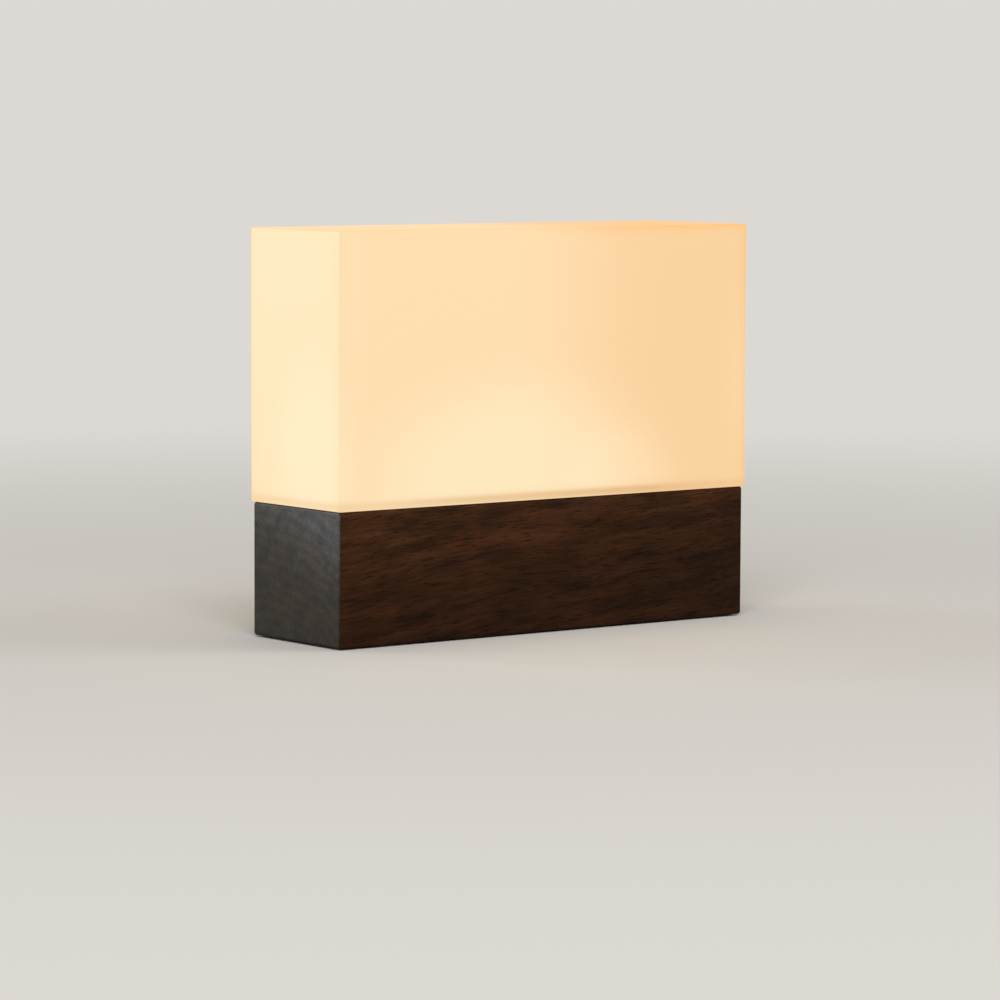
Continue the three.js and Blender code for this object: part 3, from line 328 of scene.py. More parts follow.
def walnut(name, shades, pore_length, specular, roughness, foot, top, power, lean, rings=0.0):
    """Oiled black walnut: brown bands and reddish clouds along the grain, with open dark pores.
    Foot and top are the painted shade at the foot and the painted light at the top, as shares in red,
    green and blue, power and lean shape the painted rise between them, and rings is how far the growth
    rings show."""
    dark, brown, pale, red = shades
    finish, tree, surface, place = start_finish(name)
    drift = add(tree, "TexNoise", {"Vector": place, "Scale": 1 / WANDER_LENGTH, "Detail": 1.0})
    bend = add(tree, "VectorMath", {0: drift.outputs["Color"], 1: (0.0, WANDER, WANDER)},
               operation="MULTIPLY")
    bent = add(tree, "VectorMath", {0: place, 1: bend.outputs[0]}, operation="ADD")
    grain = add(tree, "VectorRotate", {"Vector": bent.outputs[0], "Angle": math.radians(GRAIN_CLIMB)},
                rotation_type="Y_AXIS").outputs[0]
    # each pattern's size along, across and up the grain, with its detail and its roughness
    patterns = {}
    for pattern, size, detail, rough in (
        ("bands", BAND_SIZE, 4.0, 0.6),
        ("clouds", CLOUD_SIZE, 3.0, 0.5),
        ("pores", (pore_length, PORE_WIDTH, PORE_WIDTH), 1.0, 0.4),
        ("fibre", (2 * pore_length, FIBRE_WIDTH, FIBRE_WIDTH), 2.0, 0.5),
        ("streaks", (3 * pore_length, STREAK_WIDTH, STREAK_WIDTH), 1.0, 0.5),
    ):
        fitted = add(tree, "VectorMath", {0: grain, 1: [1 / side for side in size]},
                     operation="MULTIPLY")
        noise = add(tree, "TexNoise", {"Vector": fitted.outputs[0], "Scale": 1.0, "Detail": detail,
                                       "Roughness": rough})
        patterns[pattern] = noise.outputs["Fac"]
    wood = add(tree, "ValToRGB", {"Fac": patterns["bands"]},
               stops=[(0.25, dark), (0.52, brown), (0.78, pale)])
    blush = add(tree, "MapRange", {"Value": patterns["clouds"], "From Min": 0.48, "From Max": 0.7,
                                   "To Max": BLUSH})
    reddened = add(tree, "Mix", {0: blush.outputs[0], 6: wood.outputs["Color"], 7: linear(red)},
                   data_type="RGBA")
    # the pores bunch in the dark bands
    bunched = add(tree, "MapRange", {"Value": patterns["bands"], **MOST, "To Min": PORES_IN_DARK,
                                     "To Max": PORES_IN_PALE})
    over = add(tree, "Math", {0: patterns["pores"], 1: bunched.outputs[0]}, operation="SUBTRACT")
    pores = add(tree, "MapRange", {"Value": over.outputs[0], "From Max": PORE_LIP}).outputs[0]
    share = add(tree, "Math", {0: pores, 1: PORE_SHADE}, operation="MULTIPLY")
    colour = add(tree, "Mix", {0: share.outputs[0], 6: reddened.outputs[2], 7: linear(dark)},
                 data_type="RGBA")
    # the oil leaves fibre and streaks readable
    fine = add(tree, "MapRange", {"Value": patterns["fibre"], **MOST, **around(1, FIBRE_CONTRAST)})
    broad = add(tree, "MapRange", {"Value": patterns["streaks"], **MOST, **around(1, STREAK_CONTRAST)})
    shade = add(tree, "Math", {0: fine.outputs[0], 1: broad.outputs[0]}, operation="MULTIPLY")
    if rings:
        off_heart = add(tree, "VectorMath", {0: place, 1: HEART}, operation="SUBTRACT")
        # the wave repeats every 2 pi / 20 divided by its scale
        ringed = add(tree, "TexWave", {"Vector": off_heart.outputs[0], "Scale": math.pi / 10 / RING_WIDTH,
                                       "Distortion": RING_WAVES, "Detail": 1.0, "Detail Scale": 0.6},
                     wave_type="RINGS", rings_direction="X")
        growth = add(tree, "MapRange", {"Value": ringed.outputs["Fac"], **around(1, rings)})
        shade = add(tree, "Math", {0: shade.outputs[0], 1: growth.outputs[0]}, operation="MULTIPLY")
    # painted light and shade: the colour is scaled from the foot to the top along the lean, darker where
    # shade is painted and paler where light and reflection are painted
    up = add(tree, "VectorMath", {0: place, 1: lean}, operation="DOT_PRODUCT")
    rise = add(tree, "MapRange", {"Value": up.outputs["Value"], "From Min": WOOD_LOW.z,
                                  "From Max": WOOD_HIGH.z})
    painted_rise = add(tree, "Math", {0: rise.outputs[0], 1: power}, operation="POWER")
    painted_light_and_shade = add(tree, "VectorMath", {0: painted_rise.outputs[0], 1: Vector(top) - Vector(foot), 2: foot},
                operation="MULTIPLY_ADD")
    shaded = add(tree, "VectorMath", {0: colour.outputs[2], "Scale": shade.outputs[0]}, operation="SCALE")
    wood_with_painted_light = add(tree, "VectorMath", {0: shaded.outputs[0], 1: painted_light_and_shade.outputs[0]}, operation="MULTIPLY")
    tree.links.new(wood_with_painted_light.outputs[0], surface.inputs["Base Color"])
    rough = add(tree, "MapRange", {"Value": pores, "To Min": roughness,
                                   "To Max": roughness + PORE_ROUGHER})
    tree.links.new(rough.outputs[0], surface.inputs["Roughness"])
    fibrous = add(tree, "Math", {0: patterns["fibre"], 1: FIBRE_RELIEF}, operation="MULTIPLY")
    height = add(tree, "Math", {0: fibrous.outputs[0], 1: pores}, operation="SUBTRACT")
    bump = add(tree, "Bump", {"Height": height.outputs[0], "Strength": 0.5, "Distance": PORE_DEPTH * MM})
    tree.links.new(bump.outputs[0], surface.inputs["Normal"])
    surface.inputs["Specular IOR Level"].default_value = specular
    return finish


# oil sinks into the long grain and leaves it nearly matt; the end grain, sanded finer, has a satin sheen.
# Its greyed shades and its blue-grey tint towards the top and the front are painted reflection. Both carry
# painted light that makes them paler upwards, the long grain also to the left, and painted shade that
# darkens the foot.
long_grain = walnut(
    "walnut_long_grain_oiled",
    shades=("#1c0f06", "#321c0c", "#422714", "#422414"),
    pore_length=4.5,
    specular=0.06,
    roughness=0.62,
    # painted shade at the foot and painted light at the top, bluer upwards and paler to the left
    foot=(0.76, 0.75, 0.68),
    top=(1.62, 1.65, 1.72),
    power=2.2,
    lean=(-0.1, 0.0, 1.0),
)
end_grain = walnut(
    "walnut_end_grain_oiled",
    # dark walnut tones, greyed in part as painted reflection
    shades=("#241c16", "#302823", "#3a322e", "#3c2e24"),
    pore_length=0.5,
    specular=0.14,
    roughness=0.4,
    # painted shade at the foot; painted light and a painted blue-grey reflection towards the top and the
    # front
    foot=(0.72, 0.74, 0.56),
    top=(2.7, 3.85, 5.2),
    power=3.4,
    lean=(0.0, -0.35, 1.0),
    rings=0.12,
)
dress(walnut_base, long_grain, nodes=["walnut_base"])
walnut_base.data.materials.append(end_grain)
# only the two ends are sanded fine, and the milled pockets are oiled like the rest
for face in walnut_base.data.polygons:
    outside = abs(face.center.x) > (WOOD_HIGH.x - EASE) * MM
    face.material_index = int(outside and abs(face.normal.x) > END_FACING)


# Threaded inserts. Turned brass, grooved outside and tapped M3 inside, pressed into the wood from
# below, one in each corner, to take the screws of the bottom cover.
TEXTURE_STEPS, TEXTURE_BREAKUP = 3.0, 0.6  # how fine and how rough the noise of a plain finish is
SHADE_STOPS = (0.32, 0.68)  # noise levels of its dark and its pale shade
ROUGHNESS_SWING, RELIEF_STRENGTH = 0.12, 0.6


def mottled(name, dark, pale, size, roughness, relief, ior=1.5, metallic=0.0, stretch=(1, 1, 1)):
    """A finish of two close shades, with its texture size and its relief in millimetres. A metal
    keeps the IOR as it is."""
    finish, tree, surface, place = start_finish(name)
    fitted = add(tree, "VectorMath", {0: place, 1: [s / size for s in stretch]}, operation="MULTIPLY")
    noise = add(tree, "TexNoise", {"Vector": fitted.outputs[0], "Scale": 1.0, "Detail": TEXTURE_STEPS,
                                   "Roughness": TEXTURE_BREAKUP}).outputs["Fac"]
    shades = add(tree, "ValToRGB", {"Fac": noise}, stops=list(zip(SHADE_STOPS, (dark, pale))))
    tree.links.new(shades.outputs["Color"], surface.inputs["Base Color"])
    rough = add(tree, "MapRange", {"Value": noise, **MOST, **around(roughness, ROUGHNESS_SWING)})
    tree.links.new(rough.outputs[0], surface.inputs["Roughness"])
    bump = add(tree, "Bump", {"Height": noise, "Strength": RELIEF_STRENGTH, "Distance": relief * MM})
    tree.links.new(bump.outputs[0], surface.inputs["Normal"])
    surface.inputs["Metallic"].default_value = metallic
    if not metallic:
        surface.inputs["IOR"].default_value = ior
    return finish


def paint(finish, *names):
    """Gives CAD nodes their finish."""
    for name in names:
        materials = frame["nodes"][name].data.materials
        materials.clear()
        materials.append(finish)


# yellow metal with fine turning marks
brass = mottled("turned_brass", "#a8843e", "#d0aa5c", 0.4, 0.3, 0.01, metallic=1.0,
                stretch=(0.3, 0.3, 3))
paint(brass, *INSERTS)


# Battery. An 18650 lithium cell in a shrunk blue sleeve, held up in a moulded cradle that is
# screwed under the deck, with foam below it, nickel tabs welded to its ends and two leads.
SLEEVE_BLUE, SLEEVE_DARK, BARE_CAN = "#2c6f9e", "#245c86", "#c9c8c2"
SLEEVE_RIPPLE = 2.0
BARE_LENGTH = 1.7  # of the positive end, which the sleeve leaves free

# PVC shrunk on with hot air, glossy with soft ripples
sleeve, tree, surface, place = start_finish("shrunk_pvc_sleeve")
ripple = add(tree, "TexNoise", {"Vector": place, "Scale": 1 / SLEEVE_RIPPLE,
                                "Detail": 2.0}).outputs["Fac"]
blues = add(tree, "ValToRGB", {"Fac": ripple}, stops=[(0.35, SLEEVE_DARK), (0.65, SLEEVE_BLUE)])
along = add(tree, "SeparateXYZ", {0: place})
bare = add(tree, "Math", {0: along.outputs["X"], 1: high("battery_cell").x - BARE_LENGTH},
           operation="GREATER_THAN")
ends = add(tree, "Mix", {0: bare.outputs[0], 6: blues.outputs["Color"], 7: linear(BARE_CAN)},
           data_type="RGBA")
tree.links.new(ends.outputs[2], surface.inputs["Base Color"])
tree.links.new(bare.outputs[0], surface.inputs["Metallic"])
gloss = add(tree, "MapRange", {"Value": ripple, "To Min": 0.2, "To Max": 0.4})
tree.links.new(gloss.outputs[0], surface.inputs["Roughness"])
paint(sleeve, "battery_cell")

# moulded ABS with a fine spark-eroded texture, nearly black
black_abs = mottled("moulded_black_abs", "#101113", "#1d1f22", 0.25, 0.55, 0.015, ior=1.54)
paint(black_abs, "battery_cradle", "push_switch_housing", "usb_socket_tongue")
# open polyethylene foam, with cells of half a millimetre
foam = mottled("grey_pe_foam", "#55585c", "#85888c", 0.5, 0.95, 0.25, ior=1.51)
paint(foam, "battery_foam_pad")
# rolled nickel strip, bright with faint roll lines
nickel = mottled("rolled_nickel", "#aaa79f", "#cbc8c0", 0.5, 0.25, 0.004, metallic=1.0,
                 stretch=(0.2, 3, 3))
paint(nickel, "battery_tab_positive", "battery_tab_negative")
# zinc-plated steel, slightly blue
zinc = mottled("zinc_plated_steel", "#9a9da1", "#bfc3c7", 0.6, 0.32, 0.006, metallic=1.0)
paint(zinc, "cradle_screw_left", "cradle_screw_right")
# silicone over stranded wire, soft and slightly dusty
red_wire = mottled("red_silicone_wire", "#9c1c18", "#c02a22", 0.8, 0.5, 0.02, ior=1.41)
black_wire = mottled("black_silicone_wire", "#111112", "#1e1e20", 0.8, 0.5, 0.02, ior=1.41)
paint(red_wire, "battery_lead_red", "led_lead_red")
paint(black_wire, "battery_lead_black", "led_lead_black")
# nylon, slightly yellow
white_nylon = mottled("moulded_white_nylon", "#d8d4c6", "#e9e6da", 0.4, 0.45, 0.01, ior=1.53)
paint(white_nylon, "battery_connector", "push_switch_plunger")


# Control board. Glass-epoxy laminate under green solder mask, upright behind the cavity, on brass
# standoffs screwed into the back wall. It carries the charging and LED driver parts.
MASK_GREEN, TRACE_GREEN = "#12502c", "#2b7a46"
TRACE_PITCH, TRACE_WIDTH, TRACE_HEIGHT, TRACE_WANDER = 1.6, 0.2, 0.03, 0.9
TRACE_SLOPE = 1.2  # how far out its rounded edge ends, as a share of its width
GLASS_WEAVE, WEAVE_CONTRAST = 0.33, 0.15

# glossy mask over copper traces and fills, which show through it lighter; with distances measured
# along the axes their edges run mostly square, as on a real board
mask, tree, surface, place = start_finish("green_solder_mask")
cells = add(tree, "VectorMath", {0: place, 1: (1 / TRACE_PITCH, 0.0, 1 / TRACE_PITCH)},
            operation="MULTIPLY")
first, second = (
    add(tree, "TexVoronoi", {"Vector": cells.outputs[0], "Scale": 1.0, "Randomness": TRACE_WANDER},
        feature=feature, distance="CHEBYCHEV").outputs["Distance"]
    for feature in ("F1", "F2")
)
apart = add(tree, "Math", {0: second, 1: first}, operation="SUBTRACT")
between = add(tree, "MapRange", {"Value": apart.outputs[0], "From Min": TRACE_WIDTH / TRACE_PITCH,
                                 "From Max": TRACE_SLOPE * TRACE_WIDTH / TRACE_PITCH}).outputs[0]
greens = add(tree, "Mix", {0: between, 6: linear(TRACE_GREEN), 7: linear(MASK_GREEN)}, data_type="RGBA")
weave = add(tree, "TexNoise", {"Vector": place, "Scale": 1 / GLASS_WEAVE, "Detail": 2.0}).outputs["Fac"]
tone = add(tree, "MapRange", {"Value": weave, **around(1, WEAVE_CONTRAST)})
toned = add(tree, "VectorMath", {0: greens.outputs[2], "Scale": tone.outputs[0]}, operation="SCALE")
tree.links.new(toned.outputs[0], surface.inputs["Base Color"])
raised = add(tree, "Bump", {"Height": between, "Strength": 0.5, "Distance": -TRACE_HEIGHT * MM})
tree.links.new(raised.outputs[0], surface.inputs["Normal"])
satin = add(tree, "MapRange", {"Value": weave, "To Min": 0.25, "To Max": 0.4})
tree.links.new(satin.outputs[0], surface.inputs["Roughness"])
paint(mask, "control_board")
paint(brass, "board_standoff_1", "board_standoff_2")
paint(zinc, "board_screw_1", "board_screw_2")
# epoxy moulding compound, dark grey with a sanded grain
epoxy = mottled("moulded_chip_epoxy", "#1b1c1e", "#2a2b2e", 0.2, 0.6, 0.01, ior=1.55)
paint(epoxy, "charge_chip", "led_driver_chip")
# pressed and fired iron oxide, grey-brown and matt
ferrite = mottled("fired_ferrite", "#2f2e30", "#454346", 0.5, 0.7, 0.02)
paint(ferrite, "power_inductor")
# phosphor in clear silicone, yellow when off
phosphor = mottled("led_phosphor", "#e2bd4e", "#f1d779", 0.3, 0.35, 0.01, ior=1.41)
paint(phosphor, "charge_led")


# Charging socket. A drawn nickel-plated steel shell round a black tongue with gold contacts,
# soldered to the back of the control board, its mouth level with the floor of the pill recess.
SHELL_WALL = 0.3
SHELL_BACK, SHELL_MOUTH = low("usb_socket_shell").y, high("usb_socket_shell").y
MOUTH_ROUND = 0.12
CONTACT_COUNT, CONTACT_PITCH = 12, 0.5
CONTACT_WIDTH, CONTACT_THICKNESS, CONTACT_LENGTH = 0.26, 0.05, 4.1
TONGUE_THICKNESS, TONGUE_TIP = 0.7, 0.4  # the contacts leave its tip free
CONTACT_END = high("usb_socket_tongue").y - TONGUE_TIP

usb_shell = make_piece("usb_shell", rounded(
    size=span("usb_socket_shell").xz,
    corner=span("usb_socket_shell").z / 2 - SLIP,
    profile=[
        (-SHELL_WALL, SHELL_BACK), (0, SHELL_BACK),
        *arc((-MOUTH_ROUND, SHELL_MOUTH - MOUTH_ROUND), MOUTH_ROUND, 0, 90),
        *arc((MOUTH_ROUND - SHELL_WALL, SHELL_MOUTH - MOUTH_ROUND), MOUTH_ROUND, 90, 180),
    ],
    facing="Y",
    axis=PORT,
    steps=12,
), tube=True)
smooth(usb_shell)
# drawn and plated, brighter than the rolled strip
plated = mottled("nickel_plated_shell", "#b5b3ad", "#d2d0ca", 0.8, 0.2, 0.003, metallic=1.0)
dress(usb_shell, plated, nodes=["usb_socket_shell"])

contact_rows = [
    PORT + Vector(((i - (CONTACT_COUNT - 1) / 2) * CONTACT_PITCH, 0, side * TONGUE_THICKNESS / 2))
    for i in range(CONTACT_COUNT) for side in (-1, 1)
]
usb_contacts = make_piece("usb_contacts", *[
    rounded((CONTACT_WIDTH, CONTACT_THICKNESS), SHARP,
            [(0, CONTACT_END - CONTACT_LENGTH), (0, CONTACT_END)], "Y", axis, 2)
    for axis in contact_rows
])
# thin gold over nickel
gold = mottled("gold_plated_contacts", "#cf9f3f", "#e6bd62", 0.3, 0.25, 0.002, metallic=1.0)
dress(usb_contacts, gold)


# Charge light. A rod of clear acrylic that carries the light of the charge LED through the back
# wall, pressed into its hole, with a rounded end that stands level with the wood.
PIPE_ROUND, PIPE_BEVEL = 0.4, 0.05
PIPE_CLEARNESS = 0.6
PIPE_START, PIPE_END = low("charge_light_pipe").y, high("charge_light_pipe").y

light_pipe = make_piece("light_pipe", disc(
    span("charge_light_pipe").x,
    [(-PIPE_BEVEL, PIPE_START), (0, PIPE_START + PIPE_BEVEL),
     *arc((-PIPE_ROUND, PIPE_END - PIPE_ROUND), PIPE_ROUND, 0, 90)],
    "Y",
    LIGHT,
    8,
))
smooth(light_pipe)
# cast and polished at its end, faintly milky inside so that it spreads the light
clear_acrylic = mottled("clear_acrylic_rod", "#dfe6e4", "#f2f6f5", 1.0, 0.12, 0.002, ior=1.49)
surface = clear_acrylic.node_tree.nodes["Principled BSDF"]
surface.inputs["Transmission Weight"].default_value = PIPE_CLEARNESS
dress(light_pipe, clear_acrylic, nodes=["charge_light_pipe"])


# Push button. A moulded cap that slides in a bore from the dish in the back wall, held by its
# flange inside the wall, over a small switch on the board.
CAP_BACK, CAP_END = low("button_cap").y, high("button_cap").y
FLANGE_THICKNESS = 1.0
FLANGE_REACH = (span("button_cap").x - CAP_DIAMETER) / 2
CAP_ROUND, CAP_HOLLOW = 0.5, 0.25
CAP_RADIUS = CAP_DIAMETER / 2
HOLLOW_STEPS = 6
PLUNGER_SEAT = grown(span("push_switch_plunger").xz, SLIP)

# the finger hollow falls from the rounded rim towards the middle
shares = [i / HOLLOW_STEPS for i in range(1, HOLLOW_STEPS)]
hollow = [
    (-CAP_ROUND - (CAP_RADIUS - CAP_ROUND) * share, CAP_END - CAP_HOLLOW * math.sin(math.pi / 2 * share))
    for share in shares
]
button_cap = make_piece("push_button", disc(
    CAP_DIAMETER,
    [(FLANGE_REACH, CAP_BACK), (FLANGE_REACH, CAP_BACK + FLANGE_THICKNESS),
     (0, CAP_BACK + FLANGE_THICKNESS),
     *arc((-CAP_ROUND, CAP_END - CAP_ROUND), CAP_ROUND, 0, 90, 6), *hollow,
     (SHARP - CAP_RADIUS, CAP_END - CAP_HOLLOW)],
    "Y",
    BUTTON,
    24,
))
carve(button_cap, rounded(
    size=PLUNGER_SEAT,
    corner=SHARP,
    profile=[(0, CAP_BACK - OVERRUN), (0, high("push_switch_plunger").y + SLIP)],
    facing="Y",
    axis=BUTTON,
    steps=2,
))
smooth(button_cap)
# moulded finer than the cover, with a soft satin face that fingers polish
satin_abs = mottled("satin_black_abs", "#141517", "#202225", 0.15, 0.38, 0.006, ior=1.54)
dress(button_cap, satin_abs, body="power_button", nodes=["button_cap"])


# Button spring. Zinc-plated wire wound into an open coil with closed ends. It stands on the switch
# and pushes the cap out, and is squeezed by the whole stroke when the button is pressed.
WIRE, TURNS, TURN_STEPS, WIRE_SIDES = 0.4, 4.5, 24, 8
END_TURNS, END_PITCH = 0.75, 0.45  # at each end the turns close up
COIL_RADIUS = (span("push_switch_spring").x - WIRE) / 2
press = frame["joints"][0]
SPRING_START = press["deforming_nodes"][0]["fixed_end_y_m"] / MM
SPRING_LENGTH = CAP_BACK - SLIP - SPRING_START
OPEN_TURNS = TURNS - 2 * END_TURNS
OPEN_PITCH = (SPRING_LENGTH - WIRE - 2 * END_TURNS * END_PITCH) / OPEN_TURNS

loops = []
for step in range(round(TURNS * TURN_STEPS) + 1):
    turn = step / TURN_STEPS
    opened = min(max(turn - END_TURNS, 0), OPEN_TURNS)
    centre = SPRING_START + WIRE / 2 + opened * OPEN_PITCH + (turn - opened) * END_PITCH
    round_wire = arc((COIL_RADIUS, centre), WIRE / 2, 0, 360, WIRE_SIDES)[:-1]
    angle = 2 * math.pi * turn
    loops.append([
        Vector((BUTTON.x + out * math.cos(angle), along, BUTTON.z + out * math.sin(angle))) * MM
        for out, along in round_wire
    ])
spring = make_piece("coil_spring", loops)
smooth(spring)
dress(spring, zinc, nodes=["push_switch_spring"])
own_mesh(spring)


# Bottom cover. A moulded plate of black ABS, let into the underside of the wood and held by four
# countersunk screws, with a pocket for a foot beside each of them.
COVER_BOTTOM, COVER_TOP = low("bottom_cover").z, high("bottom_cover").z
COVER_EDGE = 0.25
SCREWS = [f"cover_screw_{i}" for i in range(1, 5)]
FEET = [f"foot_{i}" for i in range(1, 5)]
HEAD_DIAMETER, SHANK_DIAMETER = span("cover_screw_1").x, 3.0
HEAD_RIM = 0.15
HEAD_LIP = COVER_BOTTOM + HEAD_RIM  # where its straight rim turns into the cone
CONE = (HEAD_DIAMETER - SHANK_DIAMETER) / 2

bottom_cover = make_piece("cover_plate", rounded(
    size=span("bottom_cover").xy,
    corner=MILL_RADIUS,
    profile=[*arc((-COVER_EDGE, COVER_BOTTOM + COVER_EDGE), COVER_EDGE, -90, 0), (0, COVER_TOP)],
    steps=8,
))
countersink = [
    (0, COVER_BOTTOM - OVERRUN), (0, HEAD_LIP),
    (-CONE, HEAD_LIP + CONE), (-CONE, COVER_TOP + OVERRUN),
]
carve(
    bottom_cover,
    *[disc(HEAD_DIAMETER + 2 * SLIP, countersink, axis=middle(screw)) for screw in SCREWS],
    *[bore(span(foot).x + 2 * SLIP, COVER_BOTTOM - OVERRUN, high(foot).z, middle(foot))
      for foot in FEET],
)
smooth(bottom_cover)
dress(bottom_cover, black_abs, nodes=["bottom_cover"])


# Cover screws. M3 machine screws with countersunk heads and a crossed driver recess, in black
# oxide steel, turned into the brass inserts.
SCREW_END = high("cover_screw_1").z
SCREW_CHAMFER, HEAD_ROUND = 0.4, 0.1
DRIVER_LENGTH, DRIVER_WIDTH, DRIVER_DEPTH, DRIVER_TAPER = 2.86, 0.77, 1.1, 0.25

driver_recess = [
    (0, COVER_BOTTOM - OVERRUN), (0, COVER_BOTTOM),
    (-DRIVER_TAPER, COVER_BOTTOM + DRIVER_DEPTH),
]
# black oxide, oiled, mottled with a paler steel grey
black_oxide = mottled("black_oxide_steel", "#1c1c1e", "#38383b", 0.4, 0.38, 0.006, metallic=1.0)
for i, node in enumerate(SCREWS):
    screw = make_piece(f"machine_screw_{i + 1}", disc(
        HEAD_DIAMETER,
        [*arc((-HEAD_ROUND, COVER_BOTTOM + HEAD_ROUND), HEAD_ROUND, -90, 0, 2), (0, HEAD_LIP),
         (-CONE, HEAD_LIP + CONE), (-CONE, SCREW_END - SCREW_CHAMFER), (-CONE - SCREW_CHAMFER, SCREW_END)],
        axis=middle(node),
        steps=8,
    ))
    carve(screw, *[
        rounded(size, HEAD_ROUND, driver_recess, "Z", middle(node), 2)
        for size in ((DRIVER_LENGTH, DRIVER_WIDTH), (DRIVER_WIDTH, DRIVER_LENGTH))
    ])
    smooth(screw)
    dress(screw, black_oxide, nodes=[node])


# Feet. Discs of black rubber, stuck into the pockets of the cover, which keep the wood a hair
# above the table.
FOOT_ROUND = 0.15

# moulded nitrile, matt and slightly grey with dust
rubber = mottled("moulded_black_rubber", "#151516", "#252527", 0.3, 0.8, 0.02, ior=1.52)
for i, node in enumerate(FEET):
    foot = make_piece(f"rubber_foot_{i + 1}", disc(
        span(node).x,
        [*arc((-FOOT_ROUND, low(node).z + FOOT_ROUND), FOOT_ROUND, -90, 0), (0, high(node).z)],
        axis=middle(node),
        steps=12,
    ))
    smooth(foot)
    dress(foot, rubber, nodes=[node])


# LED tray. White moulded ABS, screwed to the top of the wood, that carries the LED board and the
# white reflecting film over it, and guides the acrylic box with its rim.
LIT_LEVEL, LIT_COLOUR = 3.0, "#ffcf8a"

white_abs = mottled("moulded_white_abs", "#e6e2d8", "#f2efe8", 0.3, 0.45, 0.01, ior=1.54)
paint(white_abs, "led_tray")
paint(zinc, "tray_screw_left", "tray_screw_right")
# white solder resist on an aluminium-core board, glossy
white_mask = mottled("white_solder_resist", "#e9e9e4", "#f6f6f2", 0.6, 0.3, 0.004, ior=1.55)
paint(white_mask, "led_board")
# foamed polyester film, matt white
film = mottled("white_reflector_film", "#eeeeea", "#fafaf7", 0.2, 0.7, 0.006, ior=1.57)
paint(film, "reflector_sheet")
# the same phosphor as the charge LED's, lit warm white
lit_phosphor = mottled("lit_led_phosphor", "#f3cf7c", "#ffe2a4", 0.3, 0.35, 0.01, ior=1.41)
surface = lit_phosphor.node_tree.nodes["Principled BSDF"]
surface.inputs["Emission Color"].default_value = linear(LIT_COLOUR)
surface.inputs["Emission Strength"].default_value = LIT_LEVEL
paint(lit_phosphor, *[f"led_{i}" for i in range(1, 9)])


# Seal. A moulded ring of translucent silicone, pressed into the groove round the rim of the tray.
# It grips the acrylic box from inside and keeps dust and stray light out of the joint.
silicone = mottled("translucent_silicone", "#cfcfca", "#e0e0db", 0.5, 0.4, 0.01, ior=1.41)
paint(silicone, "diffuser_seal")


# Diffuser. A box of 3 mm opal acrylic, open below, bonded from cast sheet with flush seams and
# wiped edges, satin outside. It stands on the wood round the tray and is lit by the LEDs under it.
BOX = span("diffuser")
BOX_BOTTOM, BOX_TOP = low("diffuser").z, high("diffuser").z
BOX_WALL, BOX_EDGE = 3.0, 0.3
GLOW_START, GLOW_FULL, GLOW = 40.0, -12.0, 0.6  # X where the glow starts and is full, and its level
SPOT_CORE, SPOT_EDGE = 0.35, 1.05  # shares of its reach where a hot spot starts to fade, and ends
# centre, reach and what it adds: twice on the front, twice on the left end, once on the right end
HOT_SPOTS = (
    ((-7.0, -17.0, 35.0), (57.0, 60.0, 31.0), 0.43),
    ((21.0, -17.0, 36.0), (22.0, 60.0, 15.0), 0.2),
    ((-66.0, 0.0, 62.0), (14.0, 150.0, 200.0), 0.13),
    ((-66.0, -7.0, 43.0), (14.0, 22.0, 32.0), 0.32),
    ((64.0, -17.0, 57.0), (14.0, 60.0, 34.0), 0.3),
)
GLOW_SHADES = [(0.0, "#dfb885"), (0.2, "#e2bb8a"), (0.58, "#e5c698"), (1.0, "#e5d2aa")]
EDGE_ORANGE, EDGE_REACH, EDGE_FALL = "#e6ac5c", 4.0, 3.0
EDGE_WHERE_DIM, EDGE_WHERE_HOT = 0.9, 0.08  # how orange an edge is where the glow is low or high
SEAM_PLACE, SEAM_SHADE = (2.6, 3.4), 0.985  # where the joint of two sheets shows, and how dark
LID_TINT = "#f6ead6"  # what the lid, farthest from the LEDs, lets through
RIM_TAN, RIM_HEIGHT = "#c99b63", 4.0
# how tan it is, by its height and from left to right
RIM_UP_SHARES = [
    (0.0, 0.3), (0.05, 0.4), (0.12, 0.85), (0.32, 0.95), (0.46, 0.5), (0.62, 0.08), (1.0, 0.0),
]
RIM_ALONG_SHARES = [
    (0.0, 0.45), (0.1, 0.4), (0.24, 0.7), (0.52, 0.85), (0.74, 1.0), (0.85, 0.65), (1.0, 0.3),
]
HAZE_SIZE, MILK_DARK, MILK_PALE = 0.5, "#7d6f5c", "#81735f"
SATIN_LOW, SATIN_HIGH = 0.38, 0.48

diffuser = make_piece("opal_box", rounded(
    size=BOX.xy,
    corner=BOX_EDGE,
    profile=[
        (-BOX_WALL, BOX_TOP - BOX_WALL), (-BOX_WALL, BOX_BOTTOM),
        *arc((-BOX_EDGE, BOX_BOTTOM + BOX_EDGE), BOX_EDGE, -90, 0),
        *arc((-BOX_EDGE, BOX_TOP - BOX_EDGE), BOX_EDGE, 0, 90),
    ],
    steps=4,
))
smooth(diffuser)

